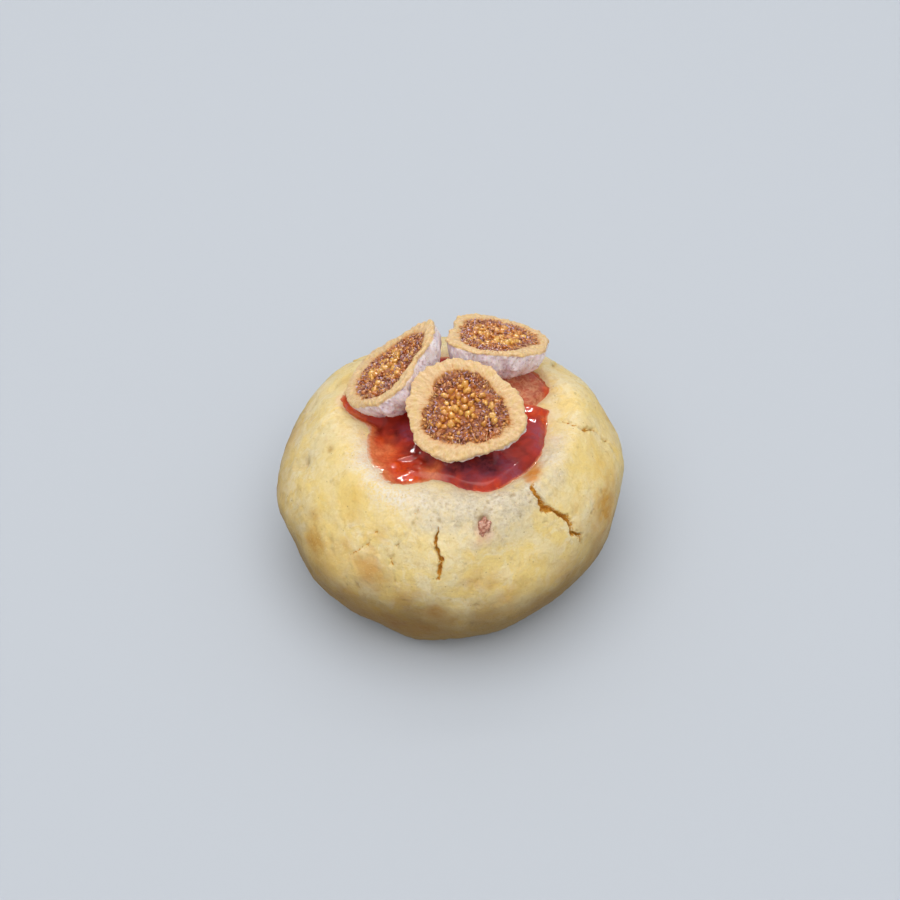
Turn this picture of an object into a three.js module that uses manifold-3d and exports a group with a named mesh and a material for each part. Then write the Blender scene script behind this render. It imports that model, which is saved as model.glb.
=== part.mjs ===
// Fig cookie: a thick round of short, cracked dough with a thumbprint in its top,
// a pool of red jam in the thumbprint, and three halves of dried fig set in the jam.
// Millimetres, +Z up. The origin is the middle of the flat base that the cookie rests on.
// Bearings are in degrees round +Z from +X; -Y is the side that the front fig leans towards.

import * as THREE from 'three';
import { mergeVertices } from 'three/addons/utils/BufferGeometryUtils.js';
import Module from 'manifold-3d';

const wasm = await Module();
wasm.setup();

// ---------------------------------------------------------------- driving dimensions

const dough = {
  widestRadius: 35,
  widestHeight: 20.2,
  crestRadius: 23.5,
  crestHeight: 35.6,
  footRadius: 23,
  // Powers of the rounding from crest to widest: 1 is an ellipse, more is nearer to a straight slope.
  shoulderReachPower: 1.45,
  shoulderDropPower: 1.3,
  flankPower: 1.05, // the same from widest to foot
};

// The thumbprint is a bowl that ends just inside the jam's outline. From there a gentle lip of
// dough climbs to the crest.
const well = {
  inset: 1, // how far inside the jam's outline it ends
  lipWidth: 2, // least width of the lip
  lipDrop: 1.4, // from the crest down to the bowl's edge
  depth: 6.2, // from the bowl's edge down to its floor
  power: 2.6, // more makes the floor flatter and the wall steeper
  edgePlace: 0.7, // place of the bowl's edge between the middle, 0, and the crest, 1
};

// Unevenness of the rings round the cookie: [waves round the cookie, mm, bearing of a peak]. The
// cookie slopes down towards its back, and its foot reaches further forward.
const widestWaves = [[2, 0.35, 20], [3, 0.3, 262], [5, 0.25, 300]];
const crestWaves = [[1, 1.2, 10], [2, 0.45, 170], [3, 0.35, 20], [7, 0.2, 75]];
const heightWaves = [[1, 2.5, 272], [2, 0.36, 170], [3, 0.28, 20], [7, 0.16, 75]];
const footWaves = [[1, 2.4, 255], [3, 0.6, 100], [4, 0.7, 270], [7, 0.45, 40]];

// Lumps left by rolling the dough: [mm, waves per mm along x, y and z, phase in degrees].
const lumps = [
  [0.28, 0.21, 0.1, 0.16, 20],
  [0.24, -0.12, 0.24, 0.2, 110],
  [0.18, 0.33, -0.19, -0.3, 250],
];
const lumpCore = new THREE.Vector3(0, 0, 16); // lumps push away from here

// Broad dents, and bulges where the depth is negative: [bearing, place, radius, depth].
const dents = [[158, 1.55, 9.5, 1.6], [50, 1.3, 7, -1.4], [302, 2.55, 7, 1.4], [240, 2.6, 6, 0.8]];

// The jam: [bearing, reach from the middle, thickness at the edge].
const jamOutline = [
  [4, 19.4, 1.6], [9, 20, 1.4], [15, 18, 1.3], [23, 21.9, 1.2], [33, 23, 1], [45, 22.8, 1],
  [75, 21, 1], [110, 20.5, 1], [140, 21, 0.9], [156, 21.6, 0.7], [166, 23.3, 0.5], [174, 20.2, 0.5],
  [183, 16.4, 0.5], [197, 15.2, 0.6], [212, 16.4, 0.5], [227, 18.3, 0.5], [239, 20, 0.6],
  [249, 18.2, 0.8], [258, 16, 1], [267, 16.3, 1.2], [279, 19.3, 1.6], [291, 21, 1.9],
  [306, 20.4, 2], [318, 20.4, 2], [334, 20, 2], [350, 19.3, 1.8],
];
const jam = {
  poolHeight: 34.6, // its level in the middle, before the mounds
  edgeFilm: 0.3, // thickness where it ends
  undersideShare: 0.99, // its underside ends at this share of its reach
  gap: 0.35, // kept to everything it touches
};
// Mounds in the jam round the figs: x, y, radius and rise.
const jamMounds = [[9, 9, 10, 3.2], [-8, 5, 8, 2.4], [1.5, -7, 9.5, 4.6], [-11, -11, 6, -0.7]];

// Cracks in the baked surface. Each station is [bearing, place down the side, width, depth]:
// place 1 is the crest of the ring, 2 its widest height and 3 the foot.
const cracks = [
  [[311, 0.97, 0.5, 0.7], [309, 1.1, 0.7, 1], [309, 1.24, 1, 1.4], [309, 1.34, 1.5, 1.8],
    [312, 1.38, 0.6, 1], [316, 1.5, 1, 1.5], [317, 1.57, 1, 1.4], [315.5, 1.62, 0.9, 1.3],
    [319.5, 1.72, 0.8, 1.2], [319, 1.8, 0.3, 0.6]],
  [[265.5, 1.31, 0.3, 0.6], [264.5, 1.45, 0.6, 1.1], [267, 1.58, 0.9, 1.4], [266.5, 1.67, 0.4, 0.7],
    [270, 1.82, 0.3, 0.5]],
  [[360.5, 0.83, 0.3, 0.5], [356, 0.96, 0.5, 0.8], [354.5, 1.16, 0.7, 1], [359, 1.35, 0.6, 0.9],
    [358, 1.43, 0.5, 0.8], [359, 1.54, 0.6, 0.8], [358, 1.67, 0.3, 0.6]],
  [[256.5, 1.16, 0.3, 0.5], [255, 1.34, 0.4, 0.7], [251, 1.48, 0.5, 0.8], [249.5, 1.58, 0.5, 0.8],
    [252, 1.77, 0.3, 0.5]],
  [[242, 1.43, 0.4, 0.5], [239.5, 1.56, 0.7, 0.8], [235, 1.68, 0.9, 0.9], [235.5, 1.88, 0.9, 0.9],
    [235, 2.13, 0.4, 0.5]],
  [[202, 1.58, 0.4, 0.5], [203, 1.67, 0.8, 0.8], [201, 1.8, 0.4, 0.5]],
  [[38, 1.2, 0.4, 0.6], [43, 1.42, 1.1, 1.4], [41, 1.66, 0.9, 1.2], [45, 1.88, 0.4, 0.6]],
  [[86, 1.12, 0.3, 0.5], [83, 1.34, 0.7, 1.1], [88, 1.58, 0.8, 1.2], [86, 1.8, 0.3, 0.6]],
  [[131, 1.3, 0.3, 0.5], [134, 1.5, 1.2, 1.5], [129, 1.72, 1, 1.3], [132, 2, 0.4, 0.6]],
  [[163, 1.5, 0.3, 0.5], [166, 1.68, 0.6, 0.9], [164, 1.86, 0.3, 0.5]],
];

// The halved figs. cut is the middle of the cut face, tilt how far it leans from level and
// lean the bearing that it leans towards. Across runs level along the cut face and along uphill.
// Waves shape an outline: [waves, share of the reach, bearing of a peak from the across axis].
const figs = [
  {
    name: 'fig_front', cut: [2.7, -8.1, 46.9], tilt: 26, lean: 246,
    across: 12, along: 10.3, depth: 8, seed: 11,
    outline: [[3, 0.056, 12], [4, 0.026, 88], [9, 0.012, 40]],
    pulp: { across: 8.6, along: 7.2, offset: [0.4, 0], outline: [[2, 0.05, 94], [3, 0.11, 357]] },
  },
  {
    name: 'fig_left', cut: [-12.45, 7.25, 43], tilt: 39, lean: 163,
    across: 11.45, along: 9.9, depth: 8, seed: 23,
    outline: [[2, 0.057, 115], [3, 0.11, 19], [4, 0.046, 46], [8, 0.012, 10]],
    pulp: { across: 8.2, along: 7.4, offset: [0.6, 0.9], outline: [[2, 0.08, 133], [3, 0.085, 19]] },
  },
  {
    name: 'fig_back', cut: [9.2, 15.5, 43.5], tilt: 24, lean: 73,
    across: 10.6, along: 9.9, depth: 8, seed: 37,
    outline: [[2, 0.05, 273], [3, 0.085, 185], [4, 0.04, 229], [9, 0.012, 90]],
    pulp: { across: 8, along: 7.5, offset: [-0.1, 0.2], outline: [[2, 0.08, 267], [3, 0.09, 197]] },
  },
];
const figBody = {
  sidePower: 0.8, // under 1 keeps the side full before it rounds in to the skin's bottom
  bottomPower: 1.1,
  rimRound: 0.8, // rounding at the edge of the cut
  rimFlat: 0.94, // the cut is flat out to this share of its reach
  pulpDip: 0.7, // the pulp shrinks back below the rim as it dries
  pulpFlat: 0.97, // the pulp is flat out to this share of its reach
  pulpWall: 1.06, // the wall round the pulp ends at this share of its reach
  foldShare: 0.03, // wrinkles in the dried skin
  folds: 11,
};
const seeds = {
  count: 44,
  radius: 0.85,
  unevenness: 0.15, // of the radius, either way
  stretch: 1.25,
  spread: 0.94, // they lie out to this share of the pulp
  jitter: 0.35,
  proud: 0.15,
};

// How finely the surfaces are divided: columns round the cookie and round a fig, then rings.
const columns = { cookie: 64, fig: 32 };
const bowlPlaces = [0.25, 0.42, 0.55, 0.64, 0.7];
const lipPlaces = [0.84, 1];
const sideRings = 9;
const jamShares = [0.2, 0.4, 0.58, 0.74, 0.86, 0.95, 1];
const skinRings = 7;

// ---------------------------------------------------------------- shared helpers

const radians = THREE.MathUtils.degToRad;

function waveSum(angle, waves) {
  return waves.reduce((sum, [count, size, peak]) => (
    sum + size * Math.cos(count * (angle - radians(peak)))
  ), 0);
}

// A repeatable random draw from 0 to 1.
function drawer(seed) {
  let state = seed;
  return () => {
    state = (state * 1664525 + 1013904223) % 4294967296;
    return state / 4294967296;
  };
}

// A value at any bearing from a closed ring of stations, by a smooth curve through them. item picks
// the value out of a station, whose first item is its bearing.
function ringValue(ring, item, angle) {
  const bearing = ((THREE.MathUtils.radToDeg(angle) % 360) + 360) % 360;
  const count = ring.length;
  let next = ring.findIndex(([b]) => b > bearing);
  if (next < 0) next = count;
  const at = (i) => {
    const turn = Math.floor(i / count);
    const station = ring[i - turn * count];
    return [station[0] + 360 * turn, station[item]];
  };
  const [p0, p1, p2, p3] = [next - 2, next - 1, next, next + 1].map(at);
  const t = (bearing - p1[0]) / (p2[0] - p1[0]);
  const slope1 = (p2[1] - p0[1]) / (p2[0] - p0[0]);
  const slope2 = (p3[1] - p1[1]) / (p3[0] - p1[0]);
  const span = p2[0] - p1[0];
  const cubed = t * t * t;
  const squared = t * t;
  return (2 * cubed - 3 * squared + 1) * p1[1] + (cubed - 2 * squared + t) * span * slope1
    + (3 * squared - 2 * cubed) * p2[1] + (cubed - squared) * span * slope2;
}

// A closed surface from rings of points between two poles. pointAt(ring, angle) gives ring 1 to
// rings; the poles close both ends. Going down the rings, the surface faces outwards.
function closedRings(rings, columnCount, topPole, bottomPole, pointAt) {
  const vertices = [topPole];
  for (let ring = 1; ring <= rings; ring += 1) {
    for (let column = 0; column < columnCount; column += 1) {
      vertices.push(pointAt(ring, (2 * Math.PI * column) / columnCount));
    }
  }
  vertices.push(bottomPole);
  const last = vertices.length - 1;
  const at = (ring, column) => 1 + (ring - 1) * columnCount + (column % columnCount);
  const faces = [];
  for (let column = 0; column < columnCount; column += 1) {
    faces.push([0, at(1, column), at(1, column + 1)]);
    for (let ring = 1; ring < rings; ring += 1) {
      faces.push([at(ring, column), at(ring + 1, column), at(ring + 1, column + 1)]);
      faces.push([at(ring, column), at(ring + 1, column + 1), at(ring, column + 1)]);
    }
    faces.push([at(rings, column), last, at(rings, column + 1)]);
  }
  return geometryOf(vertices, faces);
}

function geometryOf(vertices, faces) {
  const positions = vertices.flatMap((v) => v.toArray());
  return new THREE.BufferGeometry()
    .setAttribute('position', new THREE.Float32BufferAttribute(positions, 3))
    .setIndex(faces.flat());
}

function toSolid(geometry) {
  const bare = geometry.clone();
  bare.deleteAttribute('normal');
  bare.deleteAttribute('uv');
  const merged = mergeVertices(bare, 1e-4);
  return new wasm.Manifold(new wasm.Mesh({
    numProp: 3,
    vertProperties: merged.attributes.position.array,
    triVerts: new Uint32Array(merged.index.array),
  }));
}

function toGeometry(solid) {
  const mesh = solid.getMesh();
  return new THREE.BufferGeometry()
    .setAttribute('position', new THREE.BufferAttribute(mesh.vertProperties, 3))
    .setIndex(new THREE.BufferAttribute(mesh.triVerts, 1));
}

function meshOf(name, solid, colour, roughness) {
  const geometry = toGeometry(solid).toNonIndexed();
  geometry.computeVertexNormals();
  const material = new THREE.MeshStandardMaterial({ color: colour, roughness, metalness: 0 });
  const mesh = new THREE.Mesh(geometry, material);
  mesh.name = name;
  return mesh;
}

// ---------------------------------------------------------------- dough

const crestRadiusAt = (angle) => dough.crestRadius + waveSum(angle, crestWaves);

function wellReach(angle) {
  return Math.min(ringValue(jamOutline, 1, angle) - well.inset, crestRadiusAt(angle) - well.lipWidth);
}

// How far down the thumbprint's lip or bowl lies below the crest, at a reach from the middle.
function wellDrop(angle, radius) {
  const edge = wellReach(angle);
  if (radius < edge) return well.lipDrop + well.depth * (1 - (radius / edge) ** well.power);
  const lip = (radius - edge) / (crestRadiusAt(angle) - edge);
  return well.lipDrop * (1 - Math.min(lip, 1)) ** 2;
}

// The dough's surface before its lumps. place runs 0 to 1 from the middle of the thumbprint to the
// crest, 1 to 2 down the shoulder, 2 to 3 down the flank to the foot and 3 to 4 across the base.
function plainDoughPoint(angle, place) {
  const widest = dough.widestRadius + waveSum(angle, widestWaves);
  const crest = crestRadiusAt(angle);
  const rise = waveSum(angle, heightWaves);
  const foot = dough.footRadius + waveSum(angle, footWaves);
  let radius;
  let height;
  if (place <= 1) {
    const edge = wellReach(angle);
    const lip = Math.max(place - well.edgePlace, 0) / (1 - well.edgePlace);
    radius = (edge * Math.min(place, well.edgePlace)) / well.edgePlace + (crest - edge) * lip;
    height = dough.crestHeight + (rise * radius) / crest - wellDrop(angle, radius);
  } else if (place <= 2) {
    const turn = ((place - 1) * Math.PI) / 2;
    radius = crest + (widest - crest) * Math.sin(turn) ** dough.shoulderReachPower;
    const drop = 1 - Math.cos(turn) ** dough.shoulderDropPower;
    height = THREE.MathUtils.lerp(dough.crestHeight + rise, dough.widestHeight, drop);
  } else if (place <= 3) {
    const turn = ((place - 2) * Math.PI) / 2;
    radius = foot + (widest - foot) * Math.cos(turn) ** dough.flankPower;
    height = dough.widestHeight * (1 - Math.sin(turn) ** dough.flankPower);
  } else {
    radius = foot * (4 - place);
    height = 0;
  }
  return new THREE.Vector3(radius * Math.cos(angle), radius * Math.sin(angle), height);
}

function doughPoint(angle, place) {
  const point = plainDoughPoint(angle, place);
  if (place >= 3) return point;
  const lump = lumps.reduce((sum, [size, x, y, z, phase]) => (
    sum + size * Math.sin(x * point.x + y * point.y + z * point.z + radians(phase))
  ), 0);
  const push = dents.reduce((sum, [bearing, at, radius, depth]) => {
    const away = point.distanceTo(plainDoughPoint(radians(bearing), at));
    return sum - depth * Math.exp(-((away / radius) ** 2));
  }, lump);
  const fade = THREE.MathUtils.smoothstep(point.z, 0, 4);
  return point.addScaledVector(point.clone().sub(lumpCore).normalize(), push * fade);
}

function doughBlank() {
  const places = [...bowlPlaces, ...lipPlaces];
  for (let i = 1; i <= sideRings; i += 1) places.push(1 + i / sideRings);
  for (let i = 1; i <= sideRings; i += 1) places.push(2 + i / sideRings);
  return closedRings(places.length, columns.cookie, doughPoint(0, 0), new THREE.Vector3(0, 0, 0),
    (ring, angle) => doughPoint(angle, places[ring - 1]));
}

// A crack is cut by a blade with a V section that follows its stations.
function crackBlade(stations) {
  const proud = 1.2; // how far the blade stands out of the surface
  const points = stations.map(([bearing, place]) => doughPoint(radians(bearing), place));
  const sections = stations.map(([bearing, place, width, depth], i) => {
    const out = points[i].clone().sub(lumpCore).normalize();
    const [before, after] = [points[Math.max(i - 1, 0)], points[Math.min(i + 1, points.length - 1)]];
    const run = after.clone().sub(before).normalize();
    const side = out.clone().cross(run).normalize();
    const spread = (width / 2) * (1 + proud / depth);
    const top = points[i].clone().addScaledVector(out, proud);
    return [
      top.clone().addScaledVector(side, -spread),
      top.clone().addScaledVector(side, spread),
      points[i].clone().addScaledVector(out, -depth),
    ];
  });
  const faces = [[0, 1, 2]];
  for (let i = 0; i < sections.length - 1; i += 1) {
    for (let corner = 0; corner < 3; corner += 1) {
      const here = i * 3 + corner;
      const beside = i * 3 + ((corner + 1) % 3);
      faces.push([here, beside + 3, beside], [here, here + 3, beside + 3]);
    }
  }
  const end = (sections.length - 1) * 3;
  faces.push([end, end + 2, end + 1]);
  return toSolid(geometryOf(sections.flat(), faces));
}

// The dough is cracked, and dented where a fig presses on it.
function doughSolid(figBodies) {
  const blades = cracks.map((stations) => crackBlade(stations));
  return [...blades, ...figBodies].reduce((solid, body) => solid.subtract(body), toSolid(doughBlank()));
}

// ---------------------------------------------------------------- figs

// A point at a share of the cut's or the pulp's reach, in the fig's own frame.
function ovalPoint(oval, share, angle, height) {
  const reach = share * (1 + waveSum(angle, oval.outline));
  const [x, y] = oval.offset ?? [0, 0];
  const across = x + oval.across * reach * Math.cos(angle);
  const along = y + oval.along * reach * Math.sin(angle);
  return new THREE.Vector3(across, along, height);
}

// The half fig without its seeds. grow makes it larger all round.
function figBlank(fig, grow) {
  const cut = { ...fig, across: fig.across + grow, along: fig.along + grow };
  const pulpHeight = grow - figBody.pulpDip;
  const rings = [
    (angle) => ovalPoint(fig.pulp, figBody.pulpFlat / 2, angle, pulpHeight),
    (angle) => ovalPoint(fig.pulp, figBody.pulpFlat, angle, pulpHeight),
    (angle) => ovalPoint(fig.pulp, figBody.pulpWall, angle, grow),
    (angle) => ovalPoint(cut, figBody.rimFlat, angle, grow),
    (angle) => ovalPoint(cut, 1, angle, -figBody.rimRound),
  ];
  for (let i = 1; i <= skinRings; i += 1) {
    const turn = (i / (skinRings + 1)) * (Math.PI / 2);
    const depth = (fig.depth - figBody.rimRound + grow) * Math.sin(turn) ** figBody.bottomPower;
    rings.push((angle) => {
      const fold = figBody.foldShare * Math.sin(2 * turn) * Math.cos(figBody.folds * angle + fig.seed);
      const share = Math.cos(turn) ** figBody.sidePower * (1 + fold);
      return ovalPoint(cut, share, angle, -figBody.rimRound - depth);
    });
  }
  const bottom = new THREE.Vector3(0, 0, -fig.depth - grow);
  return closedRings(rings.length, columns.fig, new THREE.Vector3(0, 0, pulpHeight), bottom,
    (ring, angle) => rings[ring - 1](angle));
}

// Seeds lie in a sunflower spiral over the pulp, each turned and nudged a little.
function withSeeds(fig, body) {
  const draw = drawer(fig.seed);
  const either = () => 2 * draw() - 1;
  const goldenAngle = radians(137.508);
  let solid = body;
  for (let i = 0; i < seeds.count; i += 1) {
    const share = seeds.spread * Math.sqrt((i + 0.5) / seeds.count);
    const place = ovalPoint(fig.pulp, share, i * goldenAngle, seeds.proud - figBody.pulpDip);
    place.x += either() * seeds.jitter;
    place.y += either() * seeds.jitter;
    const radius = seeds.radius * (1 + either() * seeds.unevenness);
    const grain = new THREE.IcosahedronGeometry(1, 0)
      .scale(radius, radius, radius * seeds.stretch)
      .rotateX(either() * 0.7)
      .rotateZ(either() * Math.PI)
      .translate(...place.toArray());
    solid = solid.add(toSolid(grain));
  }
  return solid;
}

function placeFig(fig, object) {
  object.position.set(...fig.cut);
  object.rotation.set(radians(fig.tilt), 0, radians(fig.lean + 90), 'ZXY');
  object.updateMatrix();
  return object;
}

// ---------------------------------------------------------------- jam

function placeInWell(angle, radius) {
  const edge = wellReach(angle);
  const lip = Math.max(radius - edge, 0) / (crestRadiusAt(angle) - edge);
  return Math.min((well.edgePlace * Math.min(radius, edge)) / edge + (1 - well.edgePlace) * lip, 1);
}

// The jam's level at a share of its reach. It ends in a rounded edge on the dough.
function jamTopHeight(angle, share) {
  const reach = ringValue(jamOutline, 1, angle);
  const thickness = ringValue(jamOutline, 2, angle);
  const x = share * reach * Math.cos(angle);
  const y = share * reach * Math.sin(angle);
  const mound = jamMounds.reduce((sum, [mx, my, radius, rise]) => (
    sum + rise * Math.exp((-2 * ((x - mx) ** 2 + (y - my) ** 2)) / radius ** 2)
  ), 0);
  const edge = doughPoint(angle, placeInWell(angle, reach)).z + jam.gap + jam.edgeFilm;
  const level = THREE.MathUtils.lerp(jam.poolHeight, edge + thickness, share ** 2);
  const round = thickness * (1 - Math.sqrt(1 - share ** 6));
  return level - round + mound * (1 - share ** 4);
}

// The jam's underside follows the dough ring for ring.
function jamBlank() {
  const reachAt = (angle, share) => share * ringValue(jamOutline, 1, angle);
  const top = (angle, share) => {
    const reach = reachAt(angle, share);
    return new THREE.Vector3(reach * Math.cos(angle), reach * Math.sin(angle), jamTopHeight(angle, share));
  };
  const underside = (angle, place) => doughPoint(angle, place).add(new THREE.Vector3(0, 0, jam.gap));
  const rings = [
    ...jamShares.map((share) => (angle) => top(angle, share)),
    (angle) => underside(angle, placeInWell(angle, reachAt(angle, jam.undersideShare))),
    ...bowlPlaces.toReversed().map((place) => (angle) => underside(angle, place)),
  ];
  return closedRings(rings.length, columns.cookie, top(0, 0), underside(0, 0),
    (ring, angle) => rings[ring - 1](angle));
}

function jamSolid(figBodies) {
  return figBodies.reduce((solid, body) => solid.subtract(body), toSolid(jamBlank()));
}

// ---------------------------------------------------------------- cookie

const cookie = new THREE.Group();
const grownFigs = figs.map((fig) => {
  const placed = placeFig(fig, new THREE.Object3D());
  return toSolid(figBlank(fig, jam.gap).applyMatrix4(placed.matrix));
});
cookie.add(meshOf('dough', doughSolid(grownFigs), 0xe3c68c, 0.85));
cookie.add(meshOf('jam', jamSolid(grownFigs), 0xa8392b, 0.15));

figs.forEach((fig) => {
  const body = withSeeds(fig, toSolid(figBlank(fig, 0)));
  cookie.add(placeFig(fig, meshOf(fig.name, body, 0xc98f52, 0.7)));
});

export default cookie;
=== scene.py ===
"""Fig cookie: a thick round of cracked dough, a pool of red jam and three halves of dried fig.

The forms are worked out in millimetres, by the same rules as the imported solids, and their meshes
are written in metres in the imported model's frame: +Z up, with the origin in the middle of the flat
base. Bearings are in degrees round +Z from +X, and the camera looks along +Y from bearing 270.
"""

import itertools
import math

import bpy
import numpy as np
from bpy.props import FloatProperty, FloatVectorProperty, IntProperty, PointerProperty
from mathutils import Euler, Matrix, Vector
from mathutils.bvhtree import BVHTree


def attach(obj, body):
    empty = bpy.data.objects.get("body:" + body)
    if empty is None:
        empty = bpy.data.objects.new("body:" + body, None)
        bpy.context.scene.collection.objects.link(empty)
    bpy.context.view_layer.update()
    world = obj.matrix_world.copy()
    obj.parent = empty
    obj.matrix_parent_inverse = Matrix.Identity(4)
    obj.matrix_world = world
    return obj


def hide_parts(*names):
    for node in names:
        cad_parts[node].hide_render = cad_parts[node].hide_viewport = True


bl_info = {
    "name": "Fig Cookie",
    "version": (1, 0, 0),
    "blender": (4, 5, 0),
    "location": "View3D > Sidebar > Fig Cookie",
    "description": "Makes the dough, jam and dried figs of a thumbprint cookie over its packed solids",
    "category": "Object",
}

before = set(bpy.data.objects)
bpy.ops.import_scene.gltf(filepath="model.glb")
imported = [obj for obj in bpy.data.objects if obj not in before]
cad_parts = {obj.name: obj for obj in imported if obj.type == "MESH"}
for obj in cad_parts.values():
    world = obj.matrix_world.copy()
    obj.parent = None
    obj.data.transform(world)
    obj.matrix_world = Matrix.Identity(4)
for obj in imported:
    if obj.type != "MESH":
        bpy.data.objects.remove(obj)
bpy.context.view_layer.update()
BODY = "root"
MM = 0.001  # metres
FRONT = math.radians(270)  # the bearing that faces the camera

# The camera, in metres and radians, with the lens in mm and the shift as a share of the frame.
CAMERA_LENS = 58.32
CAMERA_SHIFT = 26.5 / 900
CAMERA_DISTANCE = 0.3
CAMERA_DOWN = math.radians(50)
CAMERA_AIM = 0.018
FLOOR_REACH = 3.0  # metres to each side

# ------------------------------------------------------------------ forms shared with the solids

# Powers of the rounding from crest to widest: 1 is an ellipse, more is nearer to a straight slope.
SHOULDER_REACH_POWER = 1.45
SHOULDER_DROP_POWER = 1.3
FLANK_POWER = 1.05  # the same from widest to foot

# The thumbprint: a bowl that ends just inside the jam's outline, then a lip up to the crest.
WELL_INSET = 1
WELL_LIP_WIDTH = 2
WELL_LIP_DROP = 1.4
WELL_DEPTH = 6.2
WELL_POWER = 2.6
WELL_EDGE_PLACE = 0.7

# Unevenness of the rings round the cookie: (waves round the cookie, mm, bearing of a peak).
WIDEST_WAVES = [(2, 0.35, 20), (3, 0.3, 262), (5, 0.25, 300)]
CREST_WAVES = [(1, 1.2, 10), (2, 0.45, 170), (3, 0.35, 20), (7, 0.2, 75)]
HEIGHT_WAVES = [(1, 2.5, 272), (2, 0.36, 170), (3, 0.28, 20), (7, 0.16, 75)]
FOOT_WAVES = [(1, 2.4, 255), (3, 0.6, 100), (4, 0.7, 270), (7, 0.45, 40)]

# Lumps left by rolling the dough: (mm, waves per mm along x, y and z, phase in degrees).
LUMPS = [(0.28, 0.21, 0.1, 0.16, 20), (0.24, -0.12, 0.24, 0.2, 110), (0.18, 0.33, -0.19, -0.3, 250)]
LUMP_CORE = np.array([0, 0, 16.0])

# Broad dents, and bulges where the depth is negative: (bearing, place, radius, depth).
BROAD_DENTS = [(158, 1.55, 9.5, 1.6), (50, 1.3, 7, -1.4), (302, 2.55, 7, 1.4), (240, 2.6, 6, 0.8)]

# The jam: (bearing, reach from the middle, thickness at the edge).
JAM_OUTLINE = [
    (4, 19.4, 1.6), (9, 20, 1.4), (15, 18, 1.3), (23, 21.9, 1.2), (33, 23, 1), (45, 22.8, 1),
    (75, 21, 1), (110, 20.5, 1), (140, 21, 0.9), (156, 21.6, 0.7), (166, 23.3, 0.5),
    (174, 20.2, 0.5), (183, 16.4, 0.5), (197, 15.2, 0.6), (212, 16.4, 0.5), (227, 18.3, 0.5),
    (239, 20, 0.6), (249, 18.2, 0.8), (258, 16, 1), (267, 16.3, 1.2), (279, 19.3, 1.6),
    (291, 21, 1.9), (306, 20.4, 2), (318, 20.4, 2), (334, 20, 2), (350, 19.3, 1.8),
]
# Where a thin film spreads past that outline: (bearing, width, degrees to each side).
JAM_FILM = [(216, 2.2, 16), (236, 1, 10), (262, 1.2, 9), (198, 1.2, 10)]
JAM_POOL_HEIGHT = 34.6  # mm over the base
JAM_GAP = 0.35  # mm from the dough and from the undersides of the figs
# Mounds in the jam round the figs: x, y, radius and rise.
JAM_MOUNDS = [(9, 9, 10, 3.2), (-8, 5, 8, 2.4), (1.5, -7, 9.5, 4.6), (-11, -11, 6, -0.7)]

# Cracks in the baked surface. Each station is (bearing, place down the side, width, depth):
# place 1 is the crest of the ring, 2 its widest height and 3 the foot.
CRACKS = [
    [(311, 0.97, 0.5, 0.7), (309, 1.1, 0.7, 1), (309, 1.24, 1, 1.4), (309, 1.34, 1.5, 1.8),
     (312, 1.38, 0.6, 1), (316, 1.5, 1, 1.5), (317, 1.57, 1, 1.4), (315.5, 1.62, 0.9, 1.3),
     (319.5, 1.72, 0.8, 1.2), (319, 1.8, 0.3, 0.6)],
    [(265.5, 1.31, 0.3, 0.6), (264.5, 1.42, 0.5, 1.1), (267, 1.53, 0.75, 1.4),
     (266.5, 1.63, 0.5, 0.8), (266, 1.68, 0.2, 0.4)],
    [(360.5, 0.83, 0.4, 0.5), (356, 0.96, 0.6, 0.8), (354.5, 1.16, 0.8, 1), (359, 1.35, 0.6, 0.9),
     (358, 1.43, 0.5, 0.8), (359, 1.54, 0.6, 0.8), (358, 1.67, 0.3, 0.6)],
    [(256.5, 1.16, 0.3, 0.5), (255, 1.34, 0.4, 0.7), (251, 1.48, 0.5, 0.8), (249.5, 1.58, 0.5, 0.8),
     (252, 1.77, 0.3, 0.5)],
    [(242, 1.43, 0.4, 0.5), (239.5, 1.56, 0.7, 0.8), (235, 1.68, 0.9, 0.9), (235.5, 1.88, 0.9, 0.9),
     (235, 2.13, 0.4, 0.5)],
    [(202, 1.58, 0.4, 0.5), (203, 1.67, 0.8, 0.8), (201, 1.8, 0.4, 0.5)],
    [(38, 1.2, 0.4, 0.6), (43, 1.42, 1.1, 1.4), (41, 1.66, 0.9, 1.2), (45, 1.88, 0.4, 0.6)],
    [(86, 1.12, 0.3, 0.5), (83, 1.34, 0.7, 1.1), (88, 1.58, 0.8, 1.2), (86, 1.8, 0.3, 0.6)],
    [(131, 1.3, 0.3, 0.5), (134, 1.5, 1.2, 1.5), (129, 1.72, 1, 1.3), (132, 2, 0.4, 0.6)],
    [(163, 1.5, 0.3, 0.5), (166, 1.68, 0.6, 0.9), (164, 1.86, 0.3, 0.5)],
]

# How open each of those cracks is. Creases are hardly open, and show no inside.
CRACK_OPENNESS = [1, 0.95, 0.8, 0.3, 0.12, 0.25, 0.75, 0.6, 0.9, 0.4]

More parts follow.
